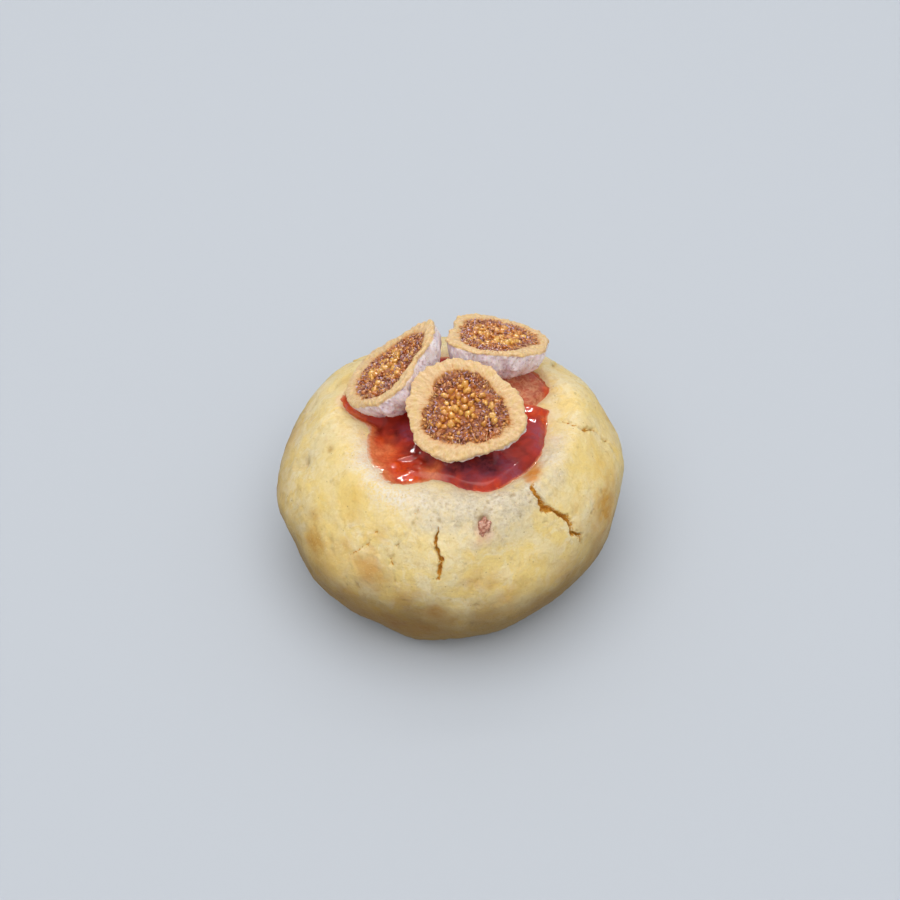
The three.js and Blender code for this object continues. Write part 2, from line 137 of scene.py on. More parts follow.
# The halved figs. cut is the middle of the cut face, tilt how far it leans from level and
# lean the bearing that it leans towards. Across runs level along the cut face and along uphill.
# Waves shape an outline: (waves, share of the reach, bearing of a peak from the across axis), and
# peel is how far below the cut the skin has fully begun. The front and the left one are a little
# smaller across the cut than their solids.
FIGS = [
    {
        "name": "fig_front", "cut": (2.35, -7.75, 46.9), "tilt": 26, "lean": 246,
        "across": 11.45, "along": 9.8, "depth": 8, "seed": 11, "peel": 1.5,
        "outline": [(3, 0.056, 12), (4, 0.026, 88), (9, 0.012, 40)],
        "pulp": {"across": 8.15, "along": 6.6, "offset": (0.4, 0),
                 "outline": [(2, 0.05, 94), (3, 0.11, 357)]},
    },
    {
        "name": "fig_left", "cut": (-12.45, 7.25, 43), "tilt": 39, "lean": 163,
        "across": 11, "along": 9.9, "depth": 8.5, "seed": 23, "peel": 0.7,
        "outline": [(2, 0.057, 115), (3, 0.11, 19), (4, 0.046, 46), (8, 0.012, 10)],
        "pulp": {"across": 7.85, "along": 7.3, "offset": (0.5, 0.8),
                 "outline": [(2, 0.08, 133), (3, 0.085, 19)]},
    },
    {
        "name": "fig_back", "cut": (9.2, 15.5, 43.5), "tilt": 24, "lean": 73,
        "across": 10.6, "along": 9.9, "depth": 8, "seed": 37, "peel": 0.4,
        "outline": [(2, 0.05, 273), (3, 0.085, 185), (4, 0.04, 229), (9, 0.012, 90)],
        "pulp": {"across": 8, "along": 7.5, "offset": (-0.1, 0.2),
                 "outline": [(2, 0.08, 267), (3, 0.09, 197)]},
    },
]
# Powers of the rounding of a fig's sides and bottom. The cut's edge is rounded over 0.45 mm from a
# share of its reach. The pulp lies lower, is flat up to a share of its own reach and has a wall up
# to another. The skin has folds, as a share of the reach and a count round the fig.
FIG_SIDE_POWER = 0.8
FIG_BOTTOM_POWER = 1.1
FIG_CUT_ROUND = 0.45
FIG_CUT_EDGE = 0.965
FIG_PULP_DIP = 0.7
FIG_PULP_FLAT = 0.97
FIG_PULP_WALL = 1.06
FIG_FOLD_SHARE = 0.03
FIG_FOLDS = 11

# ------------------------------------------------------------------ meshes and relief

DOUGH_COLUMNS = 580
DOUGH_RINGS = [(0.6, 1, 1.1), (1, 2.1, 1), (2.1, 3, 2.2)]  # (from place, to place, times the spacing)
JAM_COLUMNS = 560
FIG_COLUMNS = 320
NODULE_COUNT = 520  # lumps of pulp on each fig
PIT_COUNT = 260

# Depths and heights of the dough's relief, in mm, and how much deeper a crack is cut than its
# stations say.
CREASE_DEPTH = 0.07
CRINKLE_DEPTH = 0.2
CRACK_DEEPER = 1.2
CRACK_LIP = 0.1
SKIN_STEP = 0.22
RIDGE_WIDTH = 0.55  # mm to each side of the ridges on the jam

# ------------------------------------------------------------------ what bakes and dries unevenly

# Where the oven browned the dough, and painted shade on the lower left: (bearing, place, radius in mm,
# strength).
BROWNED_AND_SHADED = [
    (336, 1.8, 6, 1), (330, 1.95, 5, 0.6), (345, 1.5, 4, 0.3), (226, 1.29, 3, 0.3),
    # The marks at bearings 228 and 231 are painted shade on the lower left.
    (228, 1.9, 4, 0.35), (231, 1.76, 5, 0.35), (240, 2.3, 5, 0.4), (266, 2.06, 2.6, 1),
    (279, 1.7, 2.2, 0.6), (288, 1.9, 2.5, 0.5), (232, 1.62, 1.8, 0.5), (229, 1.43, 1.4, 0.3),
    (255, 1.9, 3, 0.6), (215, 1.62, 1.2, 0.7), (198, 1.2, 0.7, 0.7), (310, 1.95, 3.5, 0.5),
    (252, 2.3, 3, 0.7), (244, 1.74, 3.4, 0.8), (220.5, 1.8, 3, 0.9), (283, 1.73, 2.4, 0.45),
    (244, 1.45, 1.5, 0.4), (260, 2.3, 4, 0.5), (150, 1.13, 2.5, 0.5), (236, 2.05, 2.5, 0.5),
    (60, 1.8, 6, 0.8), (100, 1.9, 5, 0.6), (20, 1.7, 4, 0.5), (170, 1.8, 5, 0.5),
    (130, 1.6, 4, 0.4), (190, 2, 4, 0.3), (300, 2.2, 5, 0.3), (283, 2.05, 3, 0.4),
]
# Where it took a deeper yellow without browning.
YELLOWED = [
    (231, 1.82, 4, 0.8), (226, 1.29, 4.5, 1), (214, 1.5, 2.5, 1), (222, 1.62, 2.5, 0.8),
    (205, 1.05, 4, 0.7), (233, 1.12, 3, 0.7), (345, 1.45, 6, 0.9), (245, 1.14, 3.5, 0.5),
    (10, 1.5, 6, 0.6), (215, 1.5, 6, 0.5), (300, 1.75, 7, 0.35), (150, 1.2, 4, 0.6),
    (70, 1.4, 7, 0.6), (120, 1.3, 6, 0.5), (205, 1.2, 5, 0.5), (222, 2, 5, 0.6), (330, 1.3, 5, 0.5),
]
# Dry, pale and grainy dough, on the slope in front of the jam.
PALE = [
    (279, 1.1, 6, 1), (296, 1.12, 6, 1), (308, 1.15, 3.5, 0.8), (262, 1.1, 5, 0.7),
    (332, 0.8, 4, 0.5), (322, 1.12, 2.5, 0.6), (192, 1.45, 3, 0.3),
]
# Sugar that dried white on the dough beside the jam.
SUGAR = [
    (200, 0.86, 2.4, 0.5), (209, 0.86, 2.8, 0.8), (219, 0.9, 3, 1), (228, 0.93, 3, 1),
    (237, 0.98, 3.4, 1), (246, 1, 3.6, 1), (256, 1.02, 3.6, 0.8), (266, 1.02, 3.4, 0.6),
    (276, 1.06, 3, 0.5), (290, 1.08, 3, 0.5), (330, 0.86, 3, 0.6), (345, 0.86, 3, 0.4),
    (240, 1.2, 3, 0.4), (310, 1, 2, 0.6),
]
# Dough that took up jam: pink beside it and amber syrup by the long crack.
PINK = [
    (215, 0.78, 2.2, 0.9), (233, 0.84, 2, 0.7), (203, 0.78, 2, 0.8), (225, 0.8, 2, 0.8),
    (345, 0.8, 1.6, 0.3), (282.5, 1.37, 1.3, 0.8), (281, 1.41, 0.9, 0.6),
]
AMBER = [(317, 0.82, 1.7, 1), (314, 0.9, 1.1, 0.9), (320, 0.7, 1.6, 1)]
# Small brownish marks, most of them painted shade in pits and dents; the others are small stains.
STAINS_AND_PIT_SHADE = [
    (192.3, 1.5, 1.3, 0.9), (283.5, 1.24, 0.8, 1), (280, 1.31, 0.5, 0.6), (198, 1.2, 0.6, 0.7),
    (225, 1.67, 0.7, 0.5), (202, 1.62, 1, 0.4), (255.2, 1.3, 0.35, 0.7), (256, 1.2, 0.35, 0.6),
    (253, 1.4, 0.4, 0.6), (251, 1.6, 0.4, 0.6), (265.5, 2.62, 0.9, 0.9), (277, 2.16, 0.5, 0.8),
    (231, 1.5, 0.6, 0.6), (300, 2.25, 0.8, 0.5), (262, 0.98, 0.5, 0.7),
]
# Where the skin of the dough crinkled: (bearing, place, radius in mm, strength).
CRINKLED = [(226, 1.3, 4.5, 1), (237, 1.42, 3.5, 0.8), (214, 1.72, 3, 0.6), (246, 1.25, 3, 0.5)]
# Small dents: (bearing, place, radius in mm, depth in mm).
DIMPLES = [
    (192.5, 1.51, 1.7, 1.1), (190, 1.6, 1.1, 0.5), (183, 1.29, 0.9, 0.3), (264.5, 1.2, 0.5, 0.25),
    (279.5, 1.71, 0.6, 0.3), (225, 1.67, 0.9, 0.4), (227.5, 1.73, 0.6, 0.3),
    (154.5, 1.32, 1.6, 0.9), (330, 1.3, 4, 0.4), (285, 1.55, 5, 0.3), (300, 1.5, 4, 0.3),
    (283, 1.27, 1, 1.1), (256, 1.2, 0.35, 0.3), (255.2, 1.3, 0.35, 0.3), (253, 1.4, 0.4, 0.3),
]
# The skin of the dough ends along this line, a little proud of the grainy slope: (bearing, place).
SKIN_EDGE = [
    (262, 1.45), (267, 1.39), (272.5, 1.35), (278, 1.33), (288.5, 1.31), (296, 1.32), (304, 1.36),
    (308, 1.36),
]
# A raised flake on the shoulder, whose edge stands up on its upper left: (bearing, place, radius,
# height).
FLAKE = (243.5, 1.74, 3.8, 0.22)
# The bit of fruit baked into the slope: bearing, place, shift from there and size, in mm.
FRUIT_BIT = (283, 1.3, (0, 0.1, -0.55), (1.15, 1.7, 0.8))

# How steadily each colour of the jam covers its marks: 0 is only in streaks. They are laid on in
# this order.
JAM_STEADINESS = {"purple_and_sheen": 0.6, "shadow": 0.65, "bright": 0.45, "blush": 0.45, "peach": 0.7}
# Jam by colour: x and y in mm, radius in mm and strength.
JAM_TONES = {
    "bright": [
        (-7.4, -15.8, 1.7, 1), (-9.3, -14.9, 1.8, 0.9), (-9.9, -12.8, 2.4, 0.8),
        (18.8, 0.8, 1.5, 0.9), (-11.2, -9.5, 2.4, 0.8), (-8.6, -12.2, 2.6, 0.6), (-18, 0.2, 2, 0.7),
        (-15.4, -2.6, 1.6, 0.5), (15.8, 2.7, 2.2, 0.9), (19.7, 8.1, 1.3, 0.8),
        (5.6, -19.6, 2.2, 0.7), (0.6, -17.8, 1.7, 0.6), (9.4, -19.2, 1.8, 0.6),
        (-19.6, 2.2, 2, 0.7), (-13, -5.7, 1.5, 0.5), (13, -16.8, 1.2, 0.4),
    ],
    "shadow": [
        (-6.4, -8.7, 1.8, 0.9), (-4.8, -11.4, 1.6, 0.7), (-13.6, -3.2, 2, 0.7),
        (-10.8, -4, 1.8, 0.8), (2, -13.6, 3, 0.9), (7, -13.4, 3, 0.8), (3.6, -17.2, 2, 0.5),
        (15.5, -12.6, 2, 0.3), (-1, 12, 4, 0.9), (0, 7, 4, 0.8),
    ],
    # Painted reflection in part: a lilac sheen of the sky on jam that slopes to the front, over purple jam.
    "purple_and_sheen": [
        (-8.7, -3.4, 1.8, 1), (-7.8, -5, 1.4, 0.8), (0, -14.6, 2, 0.6), (3.4, -15.2, 2.6, 0.9),
        (7.2, -14.9, 2.6, 1), (10.4, -13.2, 2.4, 1), (17.2, -3.6, 2, 0.8), (12.8, -15, 1.8, 0.8),
        (16.6, -6, 1.6, 0.5), (5.4, -16.6, 2, 0.7), (9, -15.8, 2, 0.8), (17.6, -8, 1.8, 0.5),
    ],
    "peach": [
        (-19.6, 1.4, 1.8, 0.8), (-14, -8.5, 1.8, 1), (-13.9, -12.1, 1.9, 1),
        (-12.8, -15.4, 1.8, 0.9), (-11.9, -7.8, 1.8, 0.7), (-12, -10.4, 1.7, 0.6),
        (-3.8, -14.6, 1.6, 0.9), (-2.8, -15.8, 1.5, 0.8), (-11.9, -17.2, 1.6, 0.8),
        (-15.6, -4.9, 1.4, 0.8), (16.2, -14.6, 1.3, 0.4),
    ],
    "blush": [
        (13.9, 5.9, 2.6, 1), (15.9, 7.9, 2.4, 1), (14.4, 9.8, 2.6, 0.9), (17.4, 9.8, 1.8, 0.8),
        (12.2, 3.8, 2.2, 0.6), (17.5, 6.2, 1.6, 0.8), (16, 5, 2, 0.8), (12, 8, 3, 0.8),
    ],
}
# Small ridges on the jam that catch the light: (x, y, half length, bearing, height), in mm.
JAM_RIDGES = [
    (-8.3, -10.5, 1.9, 8, 0.32), (-5.8, -12, 1.1, 320, 0.3), (-6.3, -12.9, 0.8, 340, 0.26),
    (-7.2, -14.2, 1.1, 350, 0.26), (-8.5, -5.6, 0.8, 30, 0.3), (-10.4, -12, 0.9, 15, 0.26),
    (-11.2, -4.7, 1.1, 5, 0.12), (18.1, 10.8, 0.5, 340, 0.18), (16.2, -0.4, 0.7, 330, 0.16),
    (14.9, -4.2, 0.7, 310, 0.14), (15.9, -11.6, 0.7, 20, 0.14), (-11.6, -7.1, 0.5, 10, 0.14),
    (13, -8.8, 0.9, 50, 0.12), (6.8, -15.4, 1.4, 35, 0.16), (10.4, -14.2, 1, 60, 0.14),
    (-10.4, -14, 0.4, 20, 0.1), (14.6, 4.4, 0.6, 10, 0.12), (-17.6, 0.4, 0.8, 330, 0.12),
]


def shade(red, green, blue):
    """A colour seen on a screen, 0 to 255, as the linear colour that Blender mixes."""
    values = [c / 255 for c in (red, green, blue)]
    return tuple(c / 12.92 if c <= 0.04045 else ((c + 0.055) / 1.055) ** 2.4 for c in values)


def length(name, description, size):
    return FloatProperty(name=name, description=description, default=size * MM, unit="LENGTH",
                         precision=5)


def colour(name, description, *seen):
    return FloatVectorProperty(name=name, description=description, default=shade(*seen), size=3,
                               subtype="COLOR", min=0, max=1)


def share(name, description, default):
    return FloatProperty(name=name, description=description, default=default, min=0, max=1,
                         subtype="FACTOR")


class DoughSettings(bpy.types.PropertyGroup):
    widest_radius: length("Widest radius", "Radius of the cookie where it bulges most", 35)
    widest_height: length("Widest height", "Height of the widest ring over the base", 20.2)
    crest_radius: length("Crest radius", "Radius of the ring's crest round the thumbprint", 23.5)
    crest_height: length("Crest height", "Mean height of the crest over the base", 35.6)
    foot_radius: length("Foot radius", "Mean radius of the flat base", 23)
    spacing: length("Mesh spacing", "Distance between rings of the mesh down the side", 0.28)
    crumb: length("Crumb", "Height of the fine unevenness of the baked surface", 0.085)
    swell: length("Swell", "Height of the broad unevenness of the baked surface", 0.16)
    cream: colour("Cream", "Main colour of the baked dough", 232, 211, 157)
    golden: colour("Golden", "Dough that took more colour", 240, 208, 118)
    floury: colour("Floury", "Dough that stayed lightest", 238, 222, 180)
    dull: colour("Dull", "Small duller patches", 208, 176, 108)
    # Browned dough, and painted shade on the lower left.
    browned: colour("Browned", "Dough that browned", 208, 154, 54)
    flake: colour("Flake", "The raised flake", 222, 170, 92)
    pale: colour("Pale", "Dry, floury dough beside the jam", 212, 199, 170)
    grey: colour("Grey", "Grains on the dry dough", 174, 153, 118)
    pink: colour("Pink", "Dough that took up jam", 226, 178, 150)
    sugary: colour("Sugary", "Dough crusted with sugar from the jam", 232, 222, 206)
    # Painted shade in the pits and dents, and small stains elsewhere.
    pit_shade_and_stain: colour("Stain", "Dark pits and small stains", 150, 116, 62)
    amber: colour("Amber", "Dough soaked with syrup", 214, 136, 44)
    grain: colour("Grain", "Tint of the finest grain", 190, 150, 90)
    flecks: colour("Flecks", "Light flecks", 250, 234, 190)
    specks: colour("Specks", "Dark specks", 150, 112, 60)
    # Painted shade: this colour darkens the dough towards its bottom and on its left side.
    painted_low_shade: colour("Underside", "Tint of the dough that turns down", 156, 138, 100)
    inside: colour("Inside", "Dough seen down in the cracks", 218, 164, 62)
    inside_dark: colour("Dark inside", "Darker crumbs in the cracks", 186, 122, 36)
    # Painted shade: this colour darkens the middle of each crack, where it is deepest.
    painted_crack_shade: colour("Deepest", "The bottom of the cracks", 176, 112, 22)
    fruit: colour("Fruit", "The bit of fruit baked into the dough", 146, 78, 52)
    fruit_light: colour("Light fruit", "Light streaks of the bit of fruit", 212, 160, 132)


class JamSettings(bpy.types.PropertyGroup):
    red: colour("Red", "Main colour of the jam", 188, 54, 34)
    bright: colour("Bright", "Thin, bright jam", 220, 78, 8)
    shadow: colour("Shadow", "Thick jam in the shade", 68, 13, 18)
    # Painted reflection in part: the sky's lilac sheen on the jam, over jam made purple by the skin.
    purple_and_sheen: colour("Purple", "Jam full of dark skin", 150, 78, 98)
    peach: colour("Peach", "Thin jam over dough", 224, 128, 78)
    blush: colour("Blush", "Jam over crushed fruit", 214, 150, 112)
    film: colour("Film", "The jam's edge, where it is hardly a film", 230, 186, 156)
    roughness: share("Roughness", "Roughness of the jam's set surface", 0.06)
    ripple: length("Ripple", "Height of the ripples in its surface", 0.3)


class FigSettings(bpy.types.PropertyGroup):
    rim: colour("Rim", "Flesh round the cut", 218, 176, 124)
    rim_light: colour("Light rim", "Driest flesh of the rim", 236, 206, 158)
    rim_yellow: colour("Yellow rim", "Yellower patches of the rim", 222, 188, 108)
    rim_brown: colour("Brown rim", "Browner grains of the rim", 208, 160, 96)
    rim_stain: colour("Stained rim", "Flesh stained by the pulp", 204, 134, 62)
    bloom: colour("Bloom", "Sugar bloom on the dried skin", 248, 236, 236)
    skin: colour("Skin", "Dried skin where the bloom is thin", 222, 190, 160)
    lilac: colour("Lilac", "Skin that shows through the bloom", 218, 194, 210)
    bruise: colour("Bruise", "Small dark marks of the skin", 158, 104, 100)
    frost: colour("Frost", "The whitest grains of the bloom", 252, 244, 250)
    # Painted shade in part: this dark colour stays in the gaps between the lumps and seeds, over the pulp's
    # own brown.
    pulp: colour("Pulp", "Dark syrupy pulp between the seeds", 104, 42, 14)
    seed_light: colour("Light seeds", "The palest seeds", 246, 190, 94)
    seed_dark: colour("Dark seeds", "The darkest seeds", 206, 128, 40)
    small_light: colour("Light small seeds", "The palest of the small seeds", 228, 152, 70)
    small_dark: colour("Dark small seeds", "The darkest of the small seeds", 166, 84, 34)
    seed_syrup: colour("Syrup", "Syrup on the seeds", 168, 84, 24)
    seed_yellow: colour("Yellow seeds", "Tint of some groups of seeds", 226, 176, 84)
    seed_pink: colour("Pink seeds", "Tint of other groups of seeds", 190, 122, 96)
    shreds: colour("Shreds", "Dried flower shreds between the seeds", 166, 112, 96)
    shreds_dark: colour("Dark shreds", "The darkest shreds", 150, 82, 44)
    shreds_light: colour("Light shreds", "The palest shreds", 214, 184, 200)
    seed_size: length("Seed size", "Mean radius of a large seed", 0.66)
    seed_spacing: length("Seed spacing", "Least distance between large seeds", 1.05)
    random_seed: IntProperty(name="Random seed", description="Seed of the scatter", default=4)


class StageSettings(bpy.types.PropertyGroup):
    floor: colour("Floor", "Colour of the plain floor", 186, 191, 197)
    sky: colour("Sky", "Colour of the light from all round", 246, 248, 252)
    zenith: FloatProperty(name="Zenith", description="Light from straight above", default=0.7)
    horizon: FloatProperty(name="Horizon", description="Light from the horizon", default=0.4)
    backdrop: FloatProperty(name="Backdrop", description="Brightness behind the floor", default=0.62)
    sun: FloatProperty(name="Sun", description="Strength of the wide, soft light above", default=1.95)
    glint: FloatProperty(name="Glint", description="Power of the strip light that the jam mirrors",
                         default=2.4, subtype="POWER", unit="POWER")


# ------------------------------------------------------------------ form of the dough


def wave_sum(angle, waves):
    return sum(size * np.cos(count * (angle - math.radians(peak))) for count, size, peak in waves)


def ring_value(ring, item, angle):
    """A value at any bearing from a closed ring of stations, by a smooth curve through them."""
    bearings = np.array([station[0] for station in ring], float)
    values = np.array([station[item] for station in ring], float)
    bearing = np.degrees(angle) % 360
    following = np.searchsorted(bearings, bearing, side="right")

    def station(i):
        return bearings[i % len(ring)] + 360 * (i // len(ring)), values[i % len(ring)]

    (b0, v0), (b1, v1), (b2, v2), (b3, v3) = (station(following + k) for k in (-2, -1, 0, 1))
    t = (bearing - b1) / (b2 - b1)
    span = b2 - b1
    slope1 = (v2 - v0) / (b2 - b0)
    slope2 = (v3 - v1) / (b3 - b1)
    return ((2 * t**3 - 3 * t**2 + 1) * v1 + (t**3 - 2 * t**2 + t) * span * slope1
            + (3 * t**2 - 2 * t**3) * v2 + (t**3 - t**2) * span * slope2)


def smoothstep(low, high, value):
    t = np.clip((value - low) / (high - low), 0, 1)
    return t * t * (3 - 2 * t)


def crest_radius_at(angle):
    return bpy.context.scene.cookie_dough.crest_radius / MM + wave_sum(angle, CREST_WAVES)


def well_reach(angle):
    return np.minimum(ring_value(JAM_OUTLINE, 1, angle) - WELL_INSET, crest_radius_at(angle) - WELL_LIP_WIDTH)


def well_drop(angle, radius):
    """How far down the thumbprint lies below the crest, at a reach from the middle."""
    edge = well_reach(angle)
    bowl = WELL_LIP_DROP + WELL_DEPTH * (1 - np.clip(radius / edge, 0, 1) ** WELL_POWER)
    lip = np.clip((radius - edge) / (crest_radius_at(angle) - edge), 0, 1)
    return np.where(radius < edge, bowl, WELL_LIP_DROP * (1 - lip) ** 2)


def plain_dough_point(angle, place):
    """The dough before its lumps. place runs 0 to 1 from the middle of the thumbprint to the crest,
    1 to 2 down the shoulder, 2 to 3 down the flank to the foot and 3 to 4 across the base."""
    size = bpy.context.scene.cookie_dough
    widest = size.widest_radius / MM + wave_sum(angle, WIDEST_WAVES)
    widest_height = size.widest_height / MM
    crest = crest_radius_at(angle)
    rise = wave_sum(angle, HEIGHT_WAVES)
    crest_height = size.crest_height / MM + rise
    foot = size.foot_radius / MM + wave_sum(angle, FOOT_WAVES)

    edge = well_reach(angle)
    lip = np.maximum(place - WELL_EDGE_PLACE, 0) / (1 - WELL_EDGE_PLACE)
    top_radius = edge * np.minimum(place, WELL_EDGE_PLACE) / WELL_EDGE_PLACE + (crest - edge) * lip
    top_height = crest_height - rise + rise * top_radius / crest - well_drop(angle, top_radius)

    turn = np.clip(place - 1, 0, 1) * np.pi / 2
    shoulder_radius = crest + (widest - crest) * np.sin(turn) ** SHOULDER_REACH_POWER
    drop = 1 - np.clip(np.cos(turn), 0, 1) ** SHOULDER_DROP_POWER
    shoulder_height = crest_height + (widest_height - crest_height) * drop

    turn = np.clip(place - 2, 0, 1) * np.pi / 2
    flank_radius = foot + (widest - foot) * np.clip(np.cos(turn), 0, 1) ** FLANK_POWER
    flank_height = widest_height * (1 - np.sin(turn) ** FLANK_POWER)

    parts = [place <= 1, place <= 2, place <= 3]
    radius = np.select(parts, [top_radius, shoulder_radius, flank_radius], foot * (4 - place))
    height = np.select(parts, [top_height, shoulder_height, flank_height], 0)
    return np.stack([radius * np.cos(angle), radius * np.sin(angle), height], axis=-1)


def dough_point(angle, place):
    angle, place = np.broadcast_arrays(np.asarray(angle, float), np.asarray(place, float))
    point = plain_dough_point(angle, place)
    push = sum(size * np.sin(x * point[..., 0] + y * point[..., 1] + z * point[..., 2] + math.radians(phase))
               for size, x, y, z, phase in LUMPS)
    for bearing, at, radius, depth in BROAD_DENTS:
        away = np.linalg.norm(point - plain_dough_point(np.radians(bearing), np.array(at)), axis=-1)
        push = push - depth * np.exp(-((away / radius) ** 2))
    push = np.where(place >= 3, 0, push * smoothstep(0, 4, point[..., 2]))
    outwards = point - LUMP_CORE
    outwards /= np.linalg.norm(outwards, axis=-1, keepdims=True)
    return point + outwards * push[..., None]


def place_in_well(angle, radius):
    edge = well_reach(angle)
    lip = np.maximum(radius - edge, 0) / (crest_radius_at(angle) - edge)
    place = WELL_EDGE_PLACE * np.minimum(radius, edge) / edge + (1 - WELL_EDGE_PLACE) * lip
    return np.minimum(place, 1)


# ------------------------------------------------------------------ noise, marks and meshes


def noise(points, seed):
    """Smooth noise from -1 to 1 over cells one unit wide, from a hash of each cell's corners."""
    cell = np.floor(points).astype(np.int64)
    part = points - cell
    part = part**3 * (part * (part * 6 - 15) + 10)
    total = np.zeros(points.shape[:-1])
    for corner in itertools.product((0, 1), repeat=3):
        at = cell + np.array(corner)
        mixed = at[..., 0] * 73856093 ^ at[..., 1] * 19349663 ^ at[..., 2] * 83492791 ^ seed * 2654435761
        mixed = (mixed ^ (mixed >> 13)) * 1274126177 & 0xFFFFFFFF
        value = ((mixed ^ (mixed >> 16)) & 0xFFFF) / 32767.5 - 1
        total += value * np.prod(np.where(corner, part, 1 - part), axis=-1)
    return total


def fractal(points, size, octaves, seed):
    """Noise whose largest lumps are about size across, with finer and lower ones on them."""
    layers = [noise(points * 2**k / size + 17.3 * k, seed + k) / 2**k for k in range(octaves)]
    return sum(layers)


def wobble(points, size, octaves, seeds):
    """The same noise as a shift along each of the three axes."""
    return np.stack([fractal(points, size, octaves, seed) for seed in seeds], axis=-1)


def thin_lines(points, size, octaves, seed, sharpness):
    """Thin wandering lines: 1 along them, and falling to 0 beside them."""
    return np.exp(-np.abs(fractal(points, size, octaves, seed)) * sharpness)


def away_from(points, bearing, place):
    """How far each point is from a place on the dough, in mm."""
    return np.linalg.norm(points - dough_point(math.radians(bearing), place), axis=-1)


def spots(points, marks, power=1.0):
    """How strongly each point is covered by uneven soft marks (bearing, place, radius, strength)."""
    total = np.zeros(points.shape[:-1])
    uneven = 1 + 0.45 * fractal(points, 3, 3, 91)
    for bearing, place, radius, strength in marks:
        away = away_from(points, bearing, place) / radius * uneven
        total = np.maximum(total, strength * np.exp(-(away ** (2 * power))))
    return total


def flat_spots(points, marks):
    """The same over the jam, whose marks are (x, y, radius, strength)."""
    total = np.zeros(points.shape[:-1])
    for x, y, radius, strength in marks:
        away = np.hypot(points[..., 0] - x, points[..., 1] - y) / radius
        total = np.maximum(total, strength * np.exp(-(away**2)))
    return total


def surface_normals(points):
    """Outward normals of rings of points that run downwards, columns anticlockwise."""
    down = np.gradient(points, axis=0)
    round_ = np.roll(points, -1, axis=1) - np.roll(points, 1, axis=1)
    normals = np.cross(down, round_)
    return normals / np.maximum(np.linalg.norm(normals, axis=-1, keepdims=True), 1e-9)


def quads_between(index):
    """Faces between rings of points that are numbered by ring and column, as a plain list."""
    beside = np.roll(index, -1, axis=1)
    return np.stack([index[:-1], index[1:], beside[1:], beside[:-1]], axis=-1).reshape(-1, 4).tolist()


def set_attribute(mesh, name, values):
    """Stores one number or one vector for each point of a mesh."""
    kind, item = ("FLOAT_VECTOR", "vector") if values.ndim == 2 else ("FLOAT", "value")
    attribute = mesh.attributes.new(name, kind, "POINT")
    attribute.data.foreach_set(item, np.ascontiguousarray(values, np.float32).ravel())


def new_piece(name, mesh):
    piece = bpy.data.objects.new(name, mesh)
    bpy.context.collection.objects.link(piece)
    return piece


def closed_mesh(name, rings, top, bottom, attributes):
    """A closed mesh in metres from rings of points in mm between two poles. attributes are given
    for the rings' points, one number or vector each."""
    ring_count, columns = rings.shape[:2]
    points = np.concatenate([[top], rings.reshape(-1, 3), [bottom]]) * MM
    index = 1 + np.arange(ring_count * columns).reshape(ring_count, columns)
    last = len(points) - 1
    fans = [[0, a, b] for a, b in zip(index[0], np.roll(index[0], -1))]
    fans += [[a, last, b] for a, b in zip(index[-1], np.roll(index[-1], -1))]
    mesh = bpy.data.meshes.new(name)
    mesh.from_pydata(points.tolist(), [], quads_between(index) + fans)
    mesh.polygons.foreach_set("use_smooth", np.ones(len(mesh.polygons), bool))
    for key, values in attributes.items():
        flat = values.reshape(ring_count * columns, *values.shape[2:])
        ends = [values[0].mean(axis=0)], [values[-1].mean(axis=0)]
        set_attribute(mesh, key, np.concatenate([ends[0], flat, ends[1]]))
    mesh.update()
    return new_piece(name, mesh)


def even_places(start, end, spacing):
    """Places from start to end, spaced evenly along the front of the cookie."""
    fine = np.linspace(start, end, 400)
    path = dough_point(np.full(fine.shape, FRONT), fine)
    run = np.concatenate([[0], np.cumsum(np.linalg.norm(np.diff(path, axis=0), axis=1))])
    count = max(int(round(run[-1] / spacing)), 1)
    return np.interp(np.linspace(0, run[-1], count + 1)[1:], run, fine)


def front_weighted_angles(count, share_closer):
    """Angles round the cookie whose columns lie closer together at the front."""
    turn = 2 * np.pi * np.arange(count) / count
    return FRONT + turn - share_closer * np.sin(turn)


def fig_tree():
    """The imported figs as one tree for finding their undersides, in mm."""
    points, faces = [], []
    for fig in FIGS:
        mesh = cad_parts[fig["name"]].data
        start = len(points)
        points += [v.co / MM for v in mesh.vertices]
        faces += [[start + i for i in face.vertices] for face in mesh.polygons]
    return BVHTree.FromPolygons(points, faces)


def under_figs(points, gap):
    """The highest that each point may be to stay the gap below a fig. The figs lie within 27 mm of
    the middle, and a ray that starts 5 mm up meets their undersides first."""
    tree = fig_tree()
    flat = points.reshape(-1, 3)
    ceiling = np.full(len(flat), np.inf)
    for i in np.flatnonzero(np.hypot(flat[:, 0], flat[:, 1]) < 27):
        hit = tree.ray_cast(Vector((flat[i, 0], flat[i, 1], 5)), Vector((0, 0, 1)))[0]
        if hit is not None:
            ceiling[i] = hit.z - gap
    return ceiling.reshape(points.shape[:-1])


# ------------------------------------------------------------------ materials


def add_node(tree, kind, inputs=None, **settings):
    """A new node, with its settings made and its inputs linked or given their values."""
    node = tree.nodes.new(kind)
    for key, value in settings.items():
        setattr(node, key, value)
    for key, value in (inputs or {}).items():
        socket = node.inputs[key]
        if isinstance(value, bpy.types.NodeSocket):
            tree.links.new(value, socket)
        elif hasattr(value, "__len__") and len(value) == 3 and len(socket.default_value) == 4:
            socket.default_value = (*value, 1)
        else:
            socket.default_value = value
    return node


def add_math(tree, operation, first, second):
    return add_node(tree, "ShaderNodeMath", {0: first, 1: second}, operation=operation).outputs[0]


